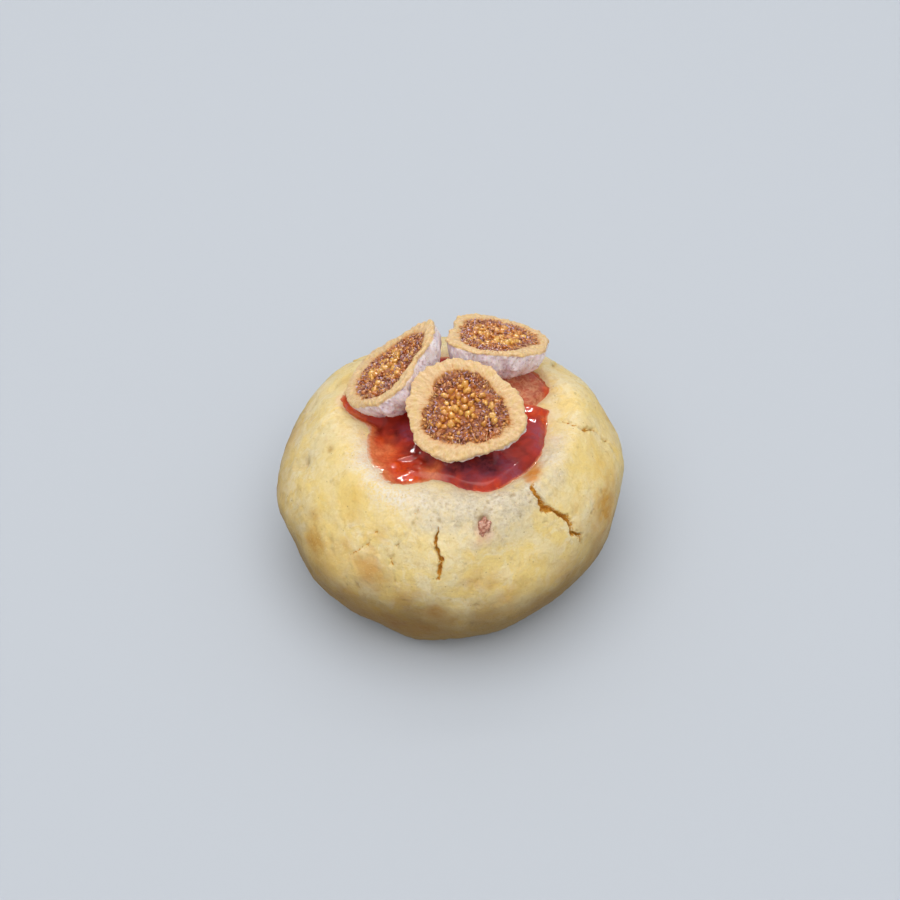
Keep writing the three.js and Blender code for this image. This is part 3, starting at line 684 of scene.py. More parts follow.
class Finish:
    """A material under construction. Sizes are in mm on the object's own coordinates."""

    def __init__(self, name):
        self.material = bpy.data.materials.new(name)
        self.material.use_nodes = True
        self.tree = self.material.node_tree
        self.tree.nodes.clear()
        self.place = self.add("ShaderNodeTexCoord").outputs["Object"]

    def add(self, kind, inputs=None, **settings):
        return add_node(self.tree, kind, inputs, **settings)

    def attribute(self, name, output="Fac"):
        return self.add("ShaderNodeAttribute", attribute_name=name).outputs[output]

    def noise(self, size, detail=3, roughness=0.5, distortion=0, vector=None, unit=MM):
        inputs = {"Vector": vector or self.place, "Scale": 1 / (size * unit), "Detail": detail,
                  "Roughness": roughness, "Distortion": distortion}
        return self.add("ShaderNodeTexNoise", inputs).outputs["Fac"]

    def cells(self, size):
        inputs = {"Vector": self.place, "Scale": 1 / (size * MM)}
        return self.add("ShaderNodeTexVoronoi", inputs).outputs["Distance"]

    def spread(self, value, low, high, to_low=0, to_high=1):
        inputs = {"Value": value, "From Min": low, "From Max": high, "To Min": to_low, "To Max": to_high}
        return self.add("ShaderNodeMapRange", inputs, clamp=True).outputs["Result"]

    def math(self, operation, first, second):
        return add_math(self.tree, operation, first, second)

    def patchy(self, name, pattern, *limits):
        """An attribute of the mesh, broken up by a pattern that is spread between limits."""
        return self.math("MULTIPLY", self.attribute(name), self.spread(pattern, *limits))

    def mix(self, factor, first, second, blend="MIX"):
        inputs = {0: factor, 6: first, 7: second}
        return self.add("ShaderNodeMix", inputs, data_type="RGBA", blend_type=blend).outputs[2]

    def layered(self, colour, *layers):
        """A colour under others. Each layer is its colour and mask, and what spreads the mask."""
        for over, mask, *limits in layers:
            colour = self.mix(self.spread(mask, *limits) if limits else mask, colour, over)
        return colour

    def bump(self, height, distance, strength):
        inputs = {"Height": height, "Distance": distance * MM, "Strength": strength}
        return self.add("ShaderNodeBump", inputs).outputs["Normal"]

    def finish(self, **sockets):
        names = {key.replace("_", " "): value for key, value in sockets.items()}
        shader = self.add("ShaderNodeBsdfPrincipled", names)
        output = self.add("ShaderNodeOutputMaterial")
        self.tree.links.new(shader.outputs["BSDF"], output.inputs["Surface"])
        return self.material


def dough_finish():
    look = bpy.context.scene.cookie_dough
    f = Finish("baked_dough")
    broad = f.noise(7, detail=4, roughness=0.6, distortion=0.6)
    mottle = f.noise(3, detail=5, roughness=0.6, distortion=0.8)
    blotch = f.noise(1.2, detail=4, roughness=0.6, distortion=0.4)
    fine = f.noise(0.45, detail=4, roughness=0.65)
    base = f.layered(
        look.cream,
        (look.golden, broad, 0.42, 0.6, 0, 0.65),
        (look.floury, mottle, 0.48, 0.62, 0, 0.75),
        (look.dull, f.noise(1.8, 5, 0.65, 0.8), 0.52, 0.68, 0, 0.55),
        (look.golden, f.patchy("yellowed", mottle, 0.36, 0.56, 0.45, 1)),
        # Browned dough, with painted shade on the lower left.
        (look.browned, f.patchy("browned", mottle, 0.36, 0.56, 0.5, 1)),
        (look.flake, f.patchy("flake", mottle, 0.3, 0.6, 0.25, 0.75)),
        (look.pale, f.patchy("pale", blotch, 0.3, 0.58, 0.5, 1)),
        (look.grey, f.patchy("pale", f.noise(0.8, 4, 0.7), 0.48, 0.63, 0, 0.6)),
        (look.pink, f.attribute("pink")),
        (look.sugary, f.patchy("sugar", f.noise(0.5, 4, 0.7), 0.42, 0.56, 0.15, 0.95)),
        # Painted shade in the pits and dents, with some small stains.
        (look.pit_shade_and_stain, f.math("MULTIPLY", f.attribute("pit"), 0.6)),
        (look.amber, f.attribute("amber")),
    )
    base = f.mix(f.spread(fine, 0.4, 0.7, 0, 0.12), base, look.grain, blend="MULTIPLY")
    base = f.layered(base, (look.flecks, f.cells(1.1), 0.14, 0.05, 0, 0.3))
    # Painted shade: the dough is darkened towards its bottom and on its left side.
    base = f.mix(f.attribute("low"), base, look.painted_low_shade, blend="MULTIPLY")
    edge = f.math("ADD", f.attribute("crack"), f.spread(f.noise(0.4, 4), 0.3, 0.7, -0.3, 0.3))
    crumbs = f.mix(f.spread(f.noise(0.5, 4, 0.7), 0.4, 0.6), look.inside_dark, look.inside)
    base = f.layered(
        base,
        (crumbs, edge, 0.05, 0.2),
        # Painted shade down the middle of the cracks.
        (look.painted_crack_shade, edge, 0.6, 1.1, 0, 0.7),
        (look.specks, f.cells(1.9), 0.1, 0.05, 0, 0.5),
    )
    relief = f.math("ADD", f.math("MULTIPLY", blotch, 0.7), f.math("MULTIPLY", fine, 0.5))
    pores = f.spread(f.cells(1.3), 0.0, 0.22, -0.5, 0)
    shown = f.spread(f.attribute("pale"), 0, 1, 0.25, 1)
    relief = f.math("ADD", relief, f.math("MULTIPLY", pores, shown))
    return f.finish(
        Base_Color=base, Roughness=f.spread(f.attribute("pink"), 0.2, 0.8, 0.62, 0.25),
        Subsurface_Weight=0.15, Subsurface_Radius=(1.0, 0.6, 0.3), Subsurface_Scale=1.2 * MM,
        Specular_IOR_Level=0.35, Normal=f.bump(relief, 0.28, 1.0),
    )


def jam_finish():
    look = bpy.context.scene.cookie_jam
    f = Finish("red_jam")
    cloud = f.noise(2.4, detail=2, roughness=0.5, distortion=0.6)
    streak = f.noise(1.1, detail=4, roughness=0.6, distortion=1.2)
    base = f.layered(look.red, (look.shadow, cloud, 0.35, 0.65, 0, 0.4))
    for tone, steadiness in JAM_STEADINESS.items():
        amount = f.patchy(tone, streak, 0.4, 0.58, steadiness, 1.1)
        base = f.mix(f.math("MINIMUM", amount, 1.0), base, getattr(look, tone))
    edge = f.math("ADD", f.attribute("thin"), f.spread(streak, 0.3, 0.7, -0.12, 0.12))
    base = f.layered(base, (look.peach, edge, 0.3, 0.75, 0, 0.8), (look.film, edge, 0.72, 1.0, 0, 0.95))
    relief = f.math("ADD", cloud, f.math("MULTIPLY", streak, 0.12))
    return f.finish(
        Base_Color=base, Roughness=look.roughness, Subsurface_Weight=0.5,
        Subsurface_Radius=(1.0, 0.25, 0.15), Subsurface_Scale=1.6 * MM, Specular_IOR_Level=0.34,
        Normal=f.bump(relief, 0.15, 0.4),
    )


def fig_finish():
    look = bpy.context.scene.cookie_figs
    f = Finish("dried_fig")
    fibre = f.attribute("fibre", "Vector")
    radial = f.noise(0.7, detail=5, roughness=0.65, vector=fibre, unit=1)
    blotch = f.noise(1.5, detail=4, roughness=0.6, distortion=0.5)
    fine = f.noise(0.3, detail=3, roughness=0.7)
    wrinkles = f.noise(1.1, detail=5, roughness=0.6, distortion=0.3, vector=fibre, unit=1)
    layer = f.attribute("layer")
    edge = f.math("ADD", layer, f.spread(radial, 0.3, 0.7, -0.25, 0.25))
    skin = f.layered(
        look.bloom,
        (look.skin, wrinkles, 0.42, 0.6, 0, 0.6),
        (look.bloom, blotch, 0.4, 0.6, 0, 0.7),
        (look.lilac, f.noise(2.6, 3), 0.5, 0.66, 0, 0.55),
        (look.bruise, f.noise(0.6, 3), 0.56, 0.68, 0, 0.6),
        (look.frost, fine, 0.55, 0.68, 0, 0.5),
    )
    rim = f.layered(
        look.rim,
        (look.rim_light, radial, 0.38, 0.66),
        (look.rim_yellow, blotch, 0.46, 0.66, 0, 0.5),
        (look.rim_brown, fine, 0.5, 0.66, 0, 0.35),
        (look.rim_stain, edge, 1.46, 1.76, 0, 0.9),
    )
    pulp = f.layered(
        look.pulp,
        # Painted light and shade: the lumps' tops are lighter than the dark gaps between them.
        (look.small_dark, f.attribute("lit_lump_tops"), 0.3, 0.9),
        (look.shreds, f.noise(1.3, 3), 0.52, 0.66, 0, 0.8),
    )
    base = f.layered(skin, (rim, edge, 0.3, 0.75), (pulp, edge, 1.8, 2.05))
    relief = f.math("ADD", f.math("MULTIPLY", radial, 0.6), f.math("MULTIPLY", fine, 0.4))
    relief = f.math("ADD", relief, f.math("MULTIPLY", wrinkles, 0.4))
    return f.finish(
        Base_Color=base, Roughness=f.spread(layer, 1.6, 2, 0.62, 0.35), Subsurface_Weight=0.2,
        Subsurface_Radius=(1.0, 0.55, 0.3), Subsurface_Scale=0.9 * MM, Specular_IOR_Level=0.4,
        Sheen_Weight=0.1, Sheen_Roughness=0.5, Normal=f.bump(relief, 0.22, 0.8),
    )


def seed_finish(name, dark, light):
    look = bpy.context.scene.cookie_figs
    f = Finish(name)
    base = f.layered(
        dark,
        (light, f.attribute("tone")),
        (look.seed_syrup, f.noise(0.7, 4), 0.46, 0.62, 0, 0.6),
        (look.seed_yellow, f.noise(3.5, 2), 0.5, 0.62, 0, 0.5),
        (look.seed_pink, f.noise(2.2, 2), 0.56, 0.7, 0, 0.5),
    )
    return f.finish(
        Base_Color=base, Roughness=0.22, Subsurface_Weight=0.2, Subsurface_Radius=(1.0, 0.5, 0.2),
        Subsurface_Scale=0.6 * MM, Specular_IOR_Level=0.6, Normal=f.bump(f.noise(0.3, 3), 0.1, 0.7),
    )


def shred_finish():
    look = bpy.context.scene.cookie_figs
    f = Finish("fig_shreds")
    tone = f.attribute("tone")
    base = f.layered(look.shreds_dark, (look.shreds, tone), (look.shreds_light, tone, 0.7, 1, 0, 0.9))
    return f.finish(
        Base_Color=base, Roughness=0.25, Subsurface_Weight=0.2, Subsurface_Radius=(1.0, 0.5, 0.5),
        Subsurface_Scale=0.6 * MM, Specular_IOR_Level=0.6,
    )


def strand_finish():
    look = bpy.context.scene.cookie_figs
    f = Finish("fig_fibres")
    base = f.mix(f.attribute("tone"), look.rim_stain, look.rim)
    return f.finish(Base_Color=base, Roughness=0.5, Specular_IOR_Level=0.4)


# ------------------------------------------------------------------ pieces


def crack_marks(points):
    """For each point, the depth that the cracks cut there and how far inside a crack it lies: 0 is
    the edge of one, 1 its middle, and less than 0 is clear of them."""
    depth = np.zeros(points.shape[:-1])
    inside = np.full(points.shape[:-1], -1.0)
    ragged = points + 0.3 * wobble(points, 0.9, 3, (41, 43, 47))
    breaks = fractal(points, 1.7, 2, 53)
    for stations, openness in zip(CRACKS, CRACK_OPENNESS):
        stations = np.array(stations, float)
        steps = np.arange(0, len(stations) - 0.99, 0.125)
        stations = np.stack([np.interp(steps, np.arange(len(stations)), stations[:, k])
                             for k in range(4)], axis=-1)
        line = dough_point(np.radians(stations[:, 0]), stations[:, 1])
        low, high = line.min(axis=0) - 2, line.max(axis=0) + 2
        near = np.all((points > low) & (points < high), axis=-1)
        at = ragged[near]
        best = np.full(len(at), -1.0)
        cut = np.zeros(len(at))
        for i in range(len(line) - 1):
            run = line[i + 1] - line[i]
            along = np.clip((at - line[i]) @ run / (run @ run), 0, 1)
            away = np.linalg.norm(at - line[i] - along[:, None] * run, axis=1)
            width = stations[i, 2] + (stations[i + 1, 2] - stations[i, 2]) * along
            deep = stations[i, 3] + (stations[i + 1, 3] - stations[i, 3]) * along
            within = 1 - away / (0.5 * width + 0.1)
            best = np.maximum(best, within)
            cut = np.maximum(cut, deep * smoothstep(-0.15, 0.6, within))
        # A crack that is hardly open shows in short lengths, where the breaks let it.
        inside[near] = np.maximum(inside[near], best - (1 - openness) * (1.1 + 0.8 * breaks[near]))
        opened = np.clip(openness + 0.1 - 0.3 * (1 - openness) * breaks[near], 0, 1)
        depth[near] = np.maximum(depth[near], cut * opened)
    return depth, inside


def random_pits(points):
    """Small uneven pits in the surface, many of them on the pale slope: how deep each point lies and
    how strongly painted shade darkens it."""
    draw = np.random.default_rng(7)
    on_slope = draw.random(PIT_COUNT) < 0.4
    bearings = np.where(on_slope, draw.normal(288, 20, PIT_COUNT), draw.random(PIT_COUNT) * 360)
    places = np.where(on_slope, draw.normal(1.12, 0.12, PIT_COUNT), 1 + 1.2 * draw.random(PIT_COUNT))
    radii = 0.16 + 0.4 * draw.random(PIT_COUNT) ** 3
    pit_shade_strength = draw.random(PIT_COUNT)
    centres = dough_point(np.radians(bearings), np.clip(places, 0.86, 2.2))
    depth = np.zeros(points.shape[:-1])
    dark = np.zeros(points.shape[:-1])
    uneven = 1 + 0.8 * fractal(points, 0.7, 2, 57)
    for centre, radius, shaded in zip(centres, radii, pit_shade_strength):
        near = np.all(np.abs(points - centre) < 2 * radius, axis=-1)
        away = np.linalg.norm(points[near] - centre, axis=-1) / radius * uneven[near]
        within = np.exp(-(away**2))
        depth[near] = np.maximum(depth[near], 0.5 * radius * within)
        dark[near] = np.maximum(dark[near], shaded * within**2)
    return depth, dark


def flake_relief(points, turn, down, ragged):
    """How much the raised flake covers each point, and how far its edge stands up there."""
    bearing, place, radius, rise = FLAKE
    away = away_from(points, bearing, place) / radius
    away = away * (1 + 0.4 * fractal(points, 3, 3, 97)) + 0.05 * ragged
    upper_left = smoothstep(1.78, 1.68, down + 0.02 * (np.degrees(turn) % 360 - bearing))
    return smoothstep(1.15, 0.3, away), rise * np.exp(-(((away - 1) / 0.2) ** 2)) * upper_left


def skin_step(turn, down, ragged):
    """How far the edge of the dough's skin stands over the slope inside it."""
    bearings, places = np.array(SKIN_EDGE).T
    bearing = np.degrees(turn) % 360
    below = down - np.interp(bearing, bearings, places) - 0.04 * ragged
    along = smoothstep(260, 266, bearing) * (1 - smoothstep(306, 310, bearing))
    return along * SKIN_STEP * (smoothstep(-0.03, 0.04, below) - 0.5) * np.exp(-np.abs(below) * 6)


def make_dough():
    size = bpy.context.scene.cookie_dough
    spacing = size.spacing / MM
    stretches = [even_places(start, end, wider * spacing) for start, end, wider in DOUGH_RINGS]
    places = np.concatenate([np.linspace(0.03, 0.6, 10), *stretches])
    angle = front_weighted_angles(DOUGH_COLUMNS, 0.42)[None, :]
    place = places[:, None]
    smooth = dough_point(angle, place)
    normals = surface_normals(smooth)
    turn, down = np.broadcast_arrays(angle, place)

    # Each noise is given by the size of its largest lumps in mm, its octaves and its seed.
    pale = spots(smooth, PALE, 1.5)
    swell = fractal(smooth, 7, 3, 3)
    ragged = fractal(smooth, 1.6, 3, 11)
    crumb = fractal(smooth, 0.9, 2, 19)
    folds = -np.abs(fractal(smooth, 4.5, 3, 29)) * (0.6 + 0.4 * pale)
    creases = thin_lines(smooth, 2.8, 3, 35, 12) * smoothstep(-0.1, 0.4, fractal(smooth, 8, 2, 39))
    height = size.swell / MM * (swell + 0.5 * folds)
    height += size.crumb / MM * ragged * (1 + 1.2 * pale)
    height += 0.5 * size.crumb / MM * crumb * (0.5 + 1.2 * pale)
    height -= CREASE_DEPTH * creases
    height -= CRINKLE_DEPTH * spots(smooth, CRINKLED) * thin_lines(smooth, 2.2, 2, 31, 9)

    cut, inside = crack_marks(smooth)
    height -= CRACK_DEEPER * cut
    height += CRACK_LIP * np.exp(-((inside + 0.5) ** 2) / 0.1)
    # The pits are also darkened with painted shade.
    pit_depth, pit_shade = random_pits(smooth)
    height -= pit_depth
    for bearing, at, radius, depth in DIMPLES:
        away = away_from(smooth, bearing, at) / radius
        height -= depth * np.exp(-(away**2)) * (1 + 0.4 * ragged)
    flake, flake_edge = flake_relief(smooth, turn, down, ragged)
    height += flake_edge
    height += skin_step(turn, down, ragged)

    # The foot and the thumbprint under the jam stay smooth, and nothing reaches into a fig.
    height *= smoothstep(0.2, 3, smooth[..., 2]) * smoothstep(0.45, 0.75, down)
    points = smooth + normals * height[..., None]
    points[..., 2] = np.minimum(points[..., 2], under_figs(points, JAM_GAP))
    points[..., 2] = np.maximum(points[..., 2], 0)

    off_jam = np.hypot(smooth[..., 0], smooth[..., 1]) - ring_value(JAM_OUTLINE, 1, angle)
    beside_jam = np.exp(-np.maximum(off_jam, 0) / 0.5) * (down < 1.1)
    pink = np.maximum(spots(smooth, PINK), 0.5 * beside_jam * (0.6 + 0.4 * ragged))
    # Where the painted shade falls: on the lower dough, and more on its left side.
    lit_height = smooth[..., 2] + 1.5 * swell + 0.08 * np.minimum(smooth[..., 0], 0)
    marks = {
        "crack": inside, "pale": pale, "browned": spots(smooth, BROWNED_AND_SHADED),
        "yellowed": spots(smooth, YELLOWED), "pink": np.clip(pink, 0, 1),
        "sugar": spots(smooth, SUGAR), "pit": np.maximum(pit_shade, spots(smooth, STAINS_AND_PIT_SHADE)),
        "amber": spots(smooth, AMBER, 1.5), "flake": flake, "low": smoothstep(29, 12, lit_height),
    }
    marks = {key: np.concatenate([value, value[-1:]]) for key, value in marks.items()}
    foot = points[-1]
    inner = foot * (1 - 0.4 / np.linalg.norm(foot, axis=-1, keepdims=True))
    rings = np.concatenate([points, [inner]])
    piece = closed_mesh("dough_crust", rings, points[0].mean(axis=0), (0, 0, 0), marks)
    piece.data.materials.append(dough_finish())
    return piece


def make_fruit_bit():
    """The bit of fruit that shows in a pit of the slope."""
    bearing, place, sunk, size = FRUIT_BIT
    angle = (2 * np.pi * np.arange(48) / 48)[None, :]
    rise = np.linspace(0.97, -0.97, 22)[:, None]
    level = np.sqrt(1 - rise**2)
    rings = np.stack(np.broadcast_arrays(level * np.cos(angle), level * np.sin(angle), rise), axis=-1)
    rings = rings * (1 + 0.42 * fractal(rings, 0.6, 4, 83))[..., None] * size
    turned = Matrix.Rotation(math.radians(-14), 3, "Z") @ Matrix.Rotation(math.radians(30), 3, "X")
    rings = rings @ np.array(turned).T + dough_point(math.radians(bearing), place) + np.array(sunk)
    piece = closed_mesh("fruit_bit", rings, rings[0].mean(axis=0), rings[-1].mean(axis=0), {})
    look = bpy.context.scene.cookie_dough
    f = Finish("baked_fruit")
    streak = f.noise(0.5, detail=4, roughness=0.6, distortion=0.8)
    base = f.layered(look.fruit, (look.fruit_light, streak, 0.35, 0.65))
    piece.data.materials.append(f.finish(
        Base_Color=base, Roughness=0.4, Subsurface_Weight=0.2, Subsurface_Radius=(1, 0.4, 0.3),
        Subsurface_Scale=0.8 * MM, Normal=f.bump(streak, 0.15, 0.7)))
    return piece


def jam_top(angle, share_out):
    """The jam's level at a share of its reach, before ripples."""
    reach = ring_value(JAM_OUTLINE, 1, angle)
    thickness = ring_value(JAM_OUTLINE, 2, angle)
    x = share_out * reach * np.cos(angle)
    y = share_out * reach * np.sin(angle)
    mound = sum(rise * np.exp(-2 * ((x - mx) ** 2 + (y - my) ** 2) / radius**2)
                for mx, my, radius, rise in JAM_MOUNDS)
    edge = dough_point(angle, place_in_well(angle, reach))[..., 2] + JAM_GAP
    level = JAM_POOL_HEIGHT + (edge + thickness - JAM_POOL_HEIGHT) * share_out**2
    rounding = thickness * (1 - np.sqrt(np.maximum(1 - share_out**6, 0)))
    return np.stack([x, y, level - rounding + mound * (1 - share_out**4)], axis=-1)


def film_reach(angle):
    """How far out the jam shows: its outline, and a film past it on the left of the front."""
    bearing = np.degrees(angle) % 360
    film = sum(width * np.exp(-(((bearing - at) / spread) ** 2)) for at, width, spread in JAM_FILM)
    return ring_value(JAM_OUTLINE, 1, angle) + film


def make_jam():
    look = bpy.context.scene.cookie_jam
    angle = front_weighted_angles(JAM_COLUMNS, 0.25)[None, :]
    shares = np.concatenate([np.linspace(0.03, 0.45, 12), np.linspace(0.46, 1, 100)])[:, None]
    reach = film_reach(angle)
    top = jam_top(angle, shares)
    top[..., :2] *= (reach / ring_value(JAM_OUTLINE, 1, angle))[..., None]
    ripple = fractal(top, 4.2, 2, 5)
    lumpy = np.abs(fractal(top, 4, 2, 9))
    height = look.ripple / MM * (ripple + 0.8 * lumpy) * (1 - np.clip(shares, 0, 1) ** 10)
    for x, y, half, bearing, rise in JAM_RIDGES:
        aim = math.radians(bearing)
        along = (top[..., 0] - x) * math.cos(aim) + (top[..., 1] - y) * math.sin(aim)
        aside = (top[..., 1] - y) * math.cos(aim) - (top[..., 0] - x) * math.sin(aim) + 0.15 * ripple
        height = height + rise * np.exp(-((along / half) ** 4) - (aside / RIDGE_WIDTH) ** 2)
    top[..., 2] += height

    # It climbs by up to 0.8 mm where it meets a fig.
    tree = fig_tree()
    flat = top.reshape(-1, 3)
    for i in range(len(flat)):
        near = tree.find_nearest(Vector(flat[i]), 2.5)[3]
        if near is not None:
            flat[i, 2] += 0.8 * math.exp(-near / 0.7)
    top = flat.reshape(top.shape)
    top[..., 2] = np.minimum(top[..., 2], under_figs(top, 0.1))

    # The edge comes down onto the dough: slowly where it is thin, in a round lip where it is thick.
    seat = dough_point(angle, place_in_well(angle, reach * shares))[..., 2]
    thin_edge = smoothstep(1.1, 0.5, ring_value(JAM_OUTLINE, 2, angle))
    from_edge = reach * (1 - shares)
    inside = from_edge / (2.4 + 2.4 * thin_edge)
    film = seat - 0.12 + 0.3 * thin_edge * inside + 0.2 * fractal(top, 1.6, 3, 13)
    landing = (1 - smoothstep(0, 1, inside)) ** (2 - 0.8 * thin_edge)
    top[..., 2] = top[..., 2] * (1 - landing) + film * landing
    top[-1, :, 2] = seat[-1] - 0.2
    thin = 1 - np.clip(from_edge / (0.9 + 2 * thin_edge), 0, 1)

    under_shares = np.array([0.985, 0.9, 0.7, 0.45, 0.2])[:, None]
    under = dough_point(angle, place_in_well(angle, reach * under_shares))
    under[..., 2] -= JAM_GAP
    under[..., 2] = np.minimum(under[..., 2], under_figs(under, 0.1) - 0.2)
    rings = np.concatenate([top, under])
    wander = 0.8 * wobble(rings, 2.2, 3, (61, 67, 71))
    marks = {tone: flat_spots(rings + wander, places) for tone, places in JAM_TONES.items()}
    marks["thin"] = np.concatenate([thin, np.zeros(under.shape[:2])])
    piece = closed_mesh("jam_pool", rings, rings[0].mean(axis=0), rings[-1].mean(axis=0), marks)
    piece.data.materials.append(jam_finish())
    return piece


def oval_point(oval, share_out, angle, height, jag=0):
    """A point at a share of the cut's or the pulp's reach, in the fig's own frame."""
    reach = share_out * (1 + wave_sum(angle, oval["outline"]) + jag)
    x, y = oval.get("offset", (0, 0))
    across = x + oval["across"] * reach * np.cos(angle)
    along = y + oval["along"] * reach * np.sin(angle)
    across, along, height = np.broadcast_arrays(across, along, height)
    return np.stack([across, along, height], axis=-1)


def placed(fig, points):
    """Points of the fig's own frame in the cookie's frame, in mm."""
    turn = Matrix.Rotation(math.radians(fig["lean"] + 90), 4, "Z")
    lean = Matrix.Rotation(math.radians(fig["tilt"]), 4, "X")
    matrix = np.array(Matrix.Translation(fig["cut"]) @ turn @ lean)
    return points @ matrix[:3, :3].T + matrix[:3, 3]


def pulp_nodules(points, fig):
    """Relief of the pulp: how far lumps of it stand up, and how near each point is to a lump's top, which is
    painted lighter than the shaded gaps.
    """
    draw = np.random.default_rng(fig["seed"])
    turn = draw.random(NODULE_COUNT) * 2 * np.pi
    out = np.sqrt(draw.random(NODULE_COUNT)) * 1.02
    centres = oval_point(fig["pulp"], out, turn, 0)
    radii = (0.42 + 0.42 * draw.random(NODULE_COUNT)) * (1.2 - 0.4 * out)
    lift = draw.random(NODULE_COUNT) * 0.5
    rise = np.zeros(points.shape[:-1])
    near_top = np.zeros(points.shape[:-1])
    for centre, radius, up in zip(centres, radii, lift):
        away = np.hypot(points[..., 0] - centre[0], points[..., 1] - centre[1]) / radius
        dome = np.sqrt(np.maximum(1 - away**2, 0))
        higher = dome * radius * 0.8 + up * (away < 1) * dome**0.3
        near_top = np.where(higher > rise, dome, near_top)
        rise = np.maximum(rise, higher)
    return rise, near_top


def make_fig_flesh(fig):
    """The half fig without its seeds: bed of pulp, wall round it, rim of flesh and wrinkled skin.
    Its attribute "layer" is 2 on the pulp, falls to 1 across the wall and the rim, and reaches 0 as
    far below the cut as the fig's peel begins."""
    seed = fig["seed"]
    angle = (2 * np.pi * np.arange(FIG_COLUMNS) / FIG_COLUMNS)[None, :]
    # Noise round a circle closes on itself. Noise on fibre is drawn out along the cut and the skin.
    circle = np.stack([np.cos(angle) * 10, np.sin(angle) * 10, np.full(angle.shape, seed * 3.1)], axis=-1)
    scallop = 0.018 * fractal(circle, 2.2, 2, seed) + 0.018 * fractal(circle, 0.9, 2, seed + 3)
    shredded = 0.07 * fractal(circle, 2.2, 5, seed + 5)
    rings, layers, shares = [], [], []

    def add(points, layer, share_out):
        rings.append(points)
        layers.append(np.full(angle.shape, layer))
        shares.append(np.full(angle.shape, share_out))

    for share_out in np.linspace(0.03, FIG_PULP_FLAT, 42):
        dip = -FIG_PULP_DIP - 0.5 * (1 - share_out**2)
        add(oval_point(fig["pulp"], share_out, angle, dip, shredded), 2, share_out * 0.6)
    wall_top = oval_point(fig["pulp"], FIG_PULP_WALL, angle, 0, shredded)
    wall_foot = oval_point(fig["pulp"], FIG_PULP_FLAT, angle, -FIG_PULP_DIP, shredded)
    for step in np.linspace(0, 1, 6)[1:]:
        point = wall_foot + (wall_top - wall_foot) * step
        point[..., 2] = -FIG_PULP_DIP * (1 - smoothstep(0, 1, step))
        add(point, 2 - 0.35 * step, 0.6 + 0.06 * step)
    rim_edge = oval_point(fig, FIG_CUT_EDGE, angle, 0, scallop)
    for step in np.linspace(0, 1, 18)[1:]:
        point = wall_top + (rim_edge - wall_top) * step
        point[..., 2] += 0.12 * math.sin(math.pi * step)
        add(point, 1.6 - 0.5 * step, 0.66 + 0.3 * step)
    for step in np.linspace(0, 1, 7)[1:]:
        turn = step * math.pi / 2
        share_out = FIG_CUT_EDGE + (1 - FIG_CUT_EDGE) * math.sin(turn)
        point = oval_point(fig, share_out, angle, -FIG_CUT_ROUND * (1 - math.cos(turn)), scallop)
        add(point, 1.1 - 0.1 * step, 0.96 + 0.08 * step)
    for step in np.linspace(0, 1, 60)[1:-1]:
        turn = step * math.pi / 2
        depth = (fig["depth"] - FIG_CUT_ROUND) * math.sin(turn) ** FIG_BOTTOM_POWER
        fold = FIG_FOLD_SHARE * math.sin(2 * turn) * np.cos(FIG_FOLDS * angle + seed)
        share_out = math.cos(turn) ** FIG_SIDE_POWER * (1 + fold)
        point = oval_point(fig, share_out, angle, -FIG_CUT_ROUND - depth, scallop * math.cos(turn))
        add(point, 1 - min(depth / fig["peel"], 1), 1.04 + step)
    local = np.stack([ring[0] for ring in rings])
    layer = np.concatenate(layers)
    share_out = np.concatenate(shares)

    normals = surface_normals(local)
    round_ = np.broadcast_to(angle, share_out.shape)
    fibre = np.stack([np.cos(round_) * 14, np.sin(round_) * 14, share_out * 5 + seed * 7.7], axis=-1)
    radial = fractal(fibre, 1.0, 4, seed + 11)
    wrinkle = -np.abs(fractal(fibre, 2.2, 3, seed + 17))
    pitted = fractal(local, 0.8, 4, seed + 23)
    lumps = fractal(circle, 1.6, 3, seed + 31) * smoothstep(1.25, 1.0, layer)
    on_rim = smoothstep(1.62, 1.4, layer) * smoothstep(0.1, 0.7, layer)
    on_skin = smoothstep(0.7, 0.1, layer)
    on_pulp = smoothstep(1.8, 2.0, layer)
    rise, near_top = pulp_nodules(local, fig)
    height = on_rim * (0.12 * radial + 0.16 * pitted + 0.08 * lumps)
    height += on_skin * (0.6 * wrinkle + 0.2 + 0.07 * pitted)
    height += on_pulp * 0.8 * rise
    height *= 1 - smoothstep(1.9, 2.04, share_out)
    local = local + normals * height[..., None]

    points = placed(fig, local)
    marks = {"layer": layer, "fibre": fibre, "lit_lump_tops": near_top * on_pulp}
    bottom = placed(fig, np.array([0, 0, -float(fig["depth"])]))
    return closed_mesh(fig["name"] + "_flesh", points, points[0].mean(axis=0), bottom, marks)


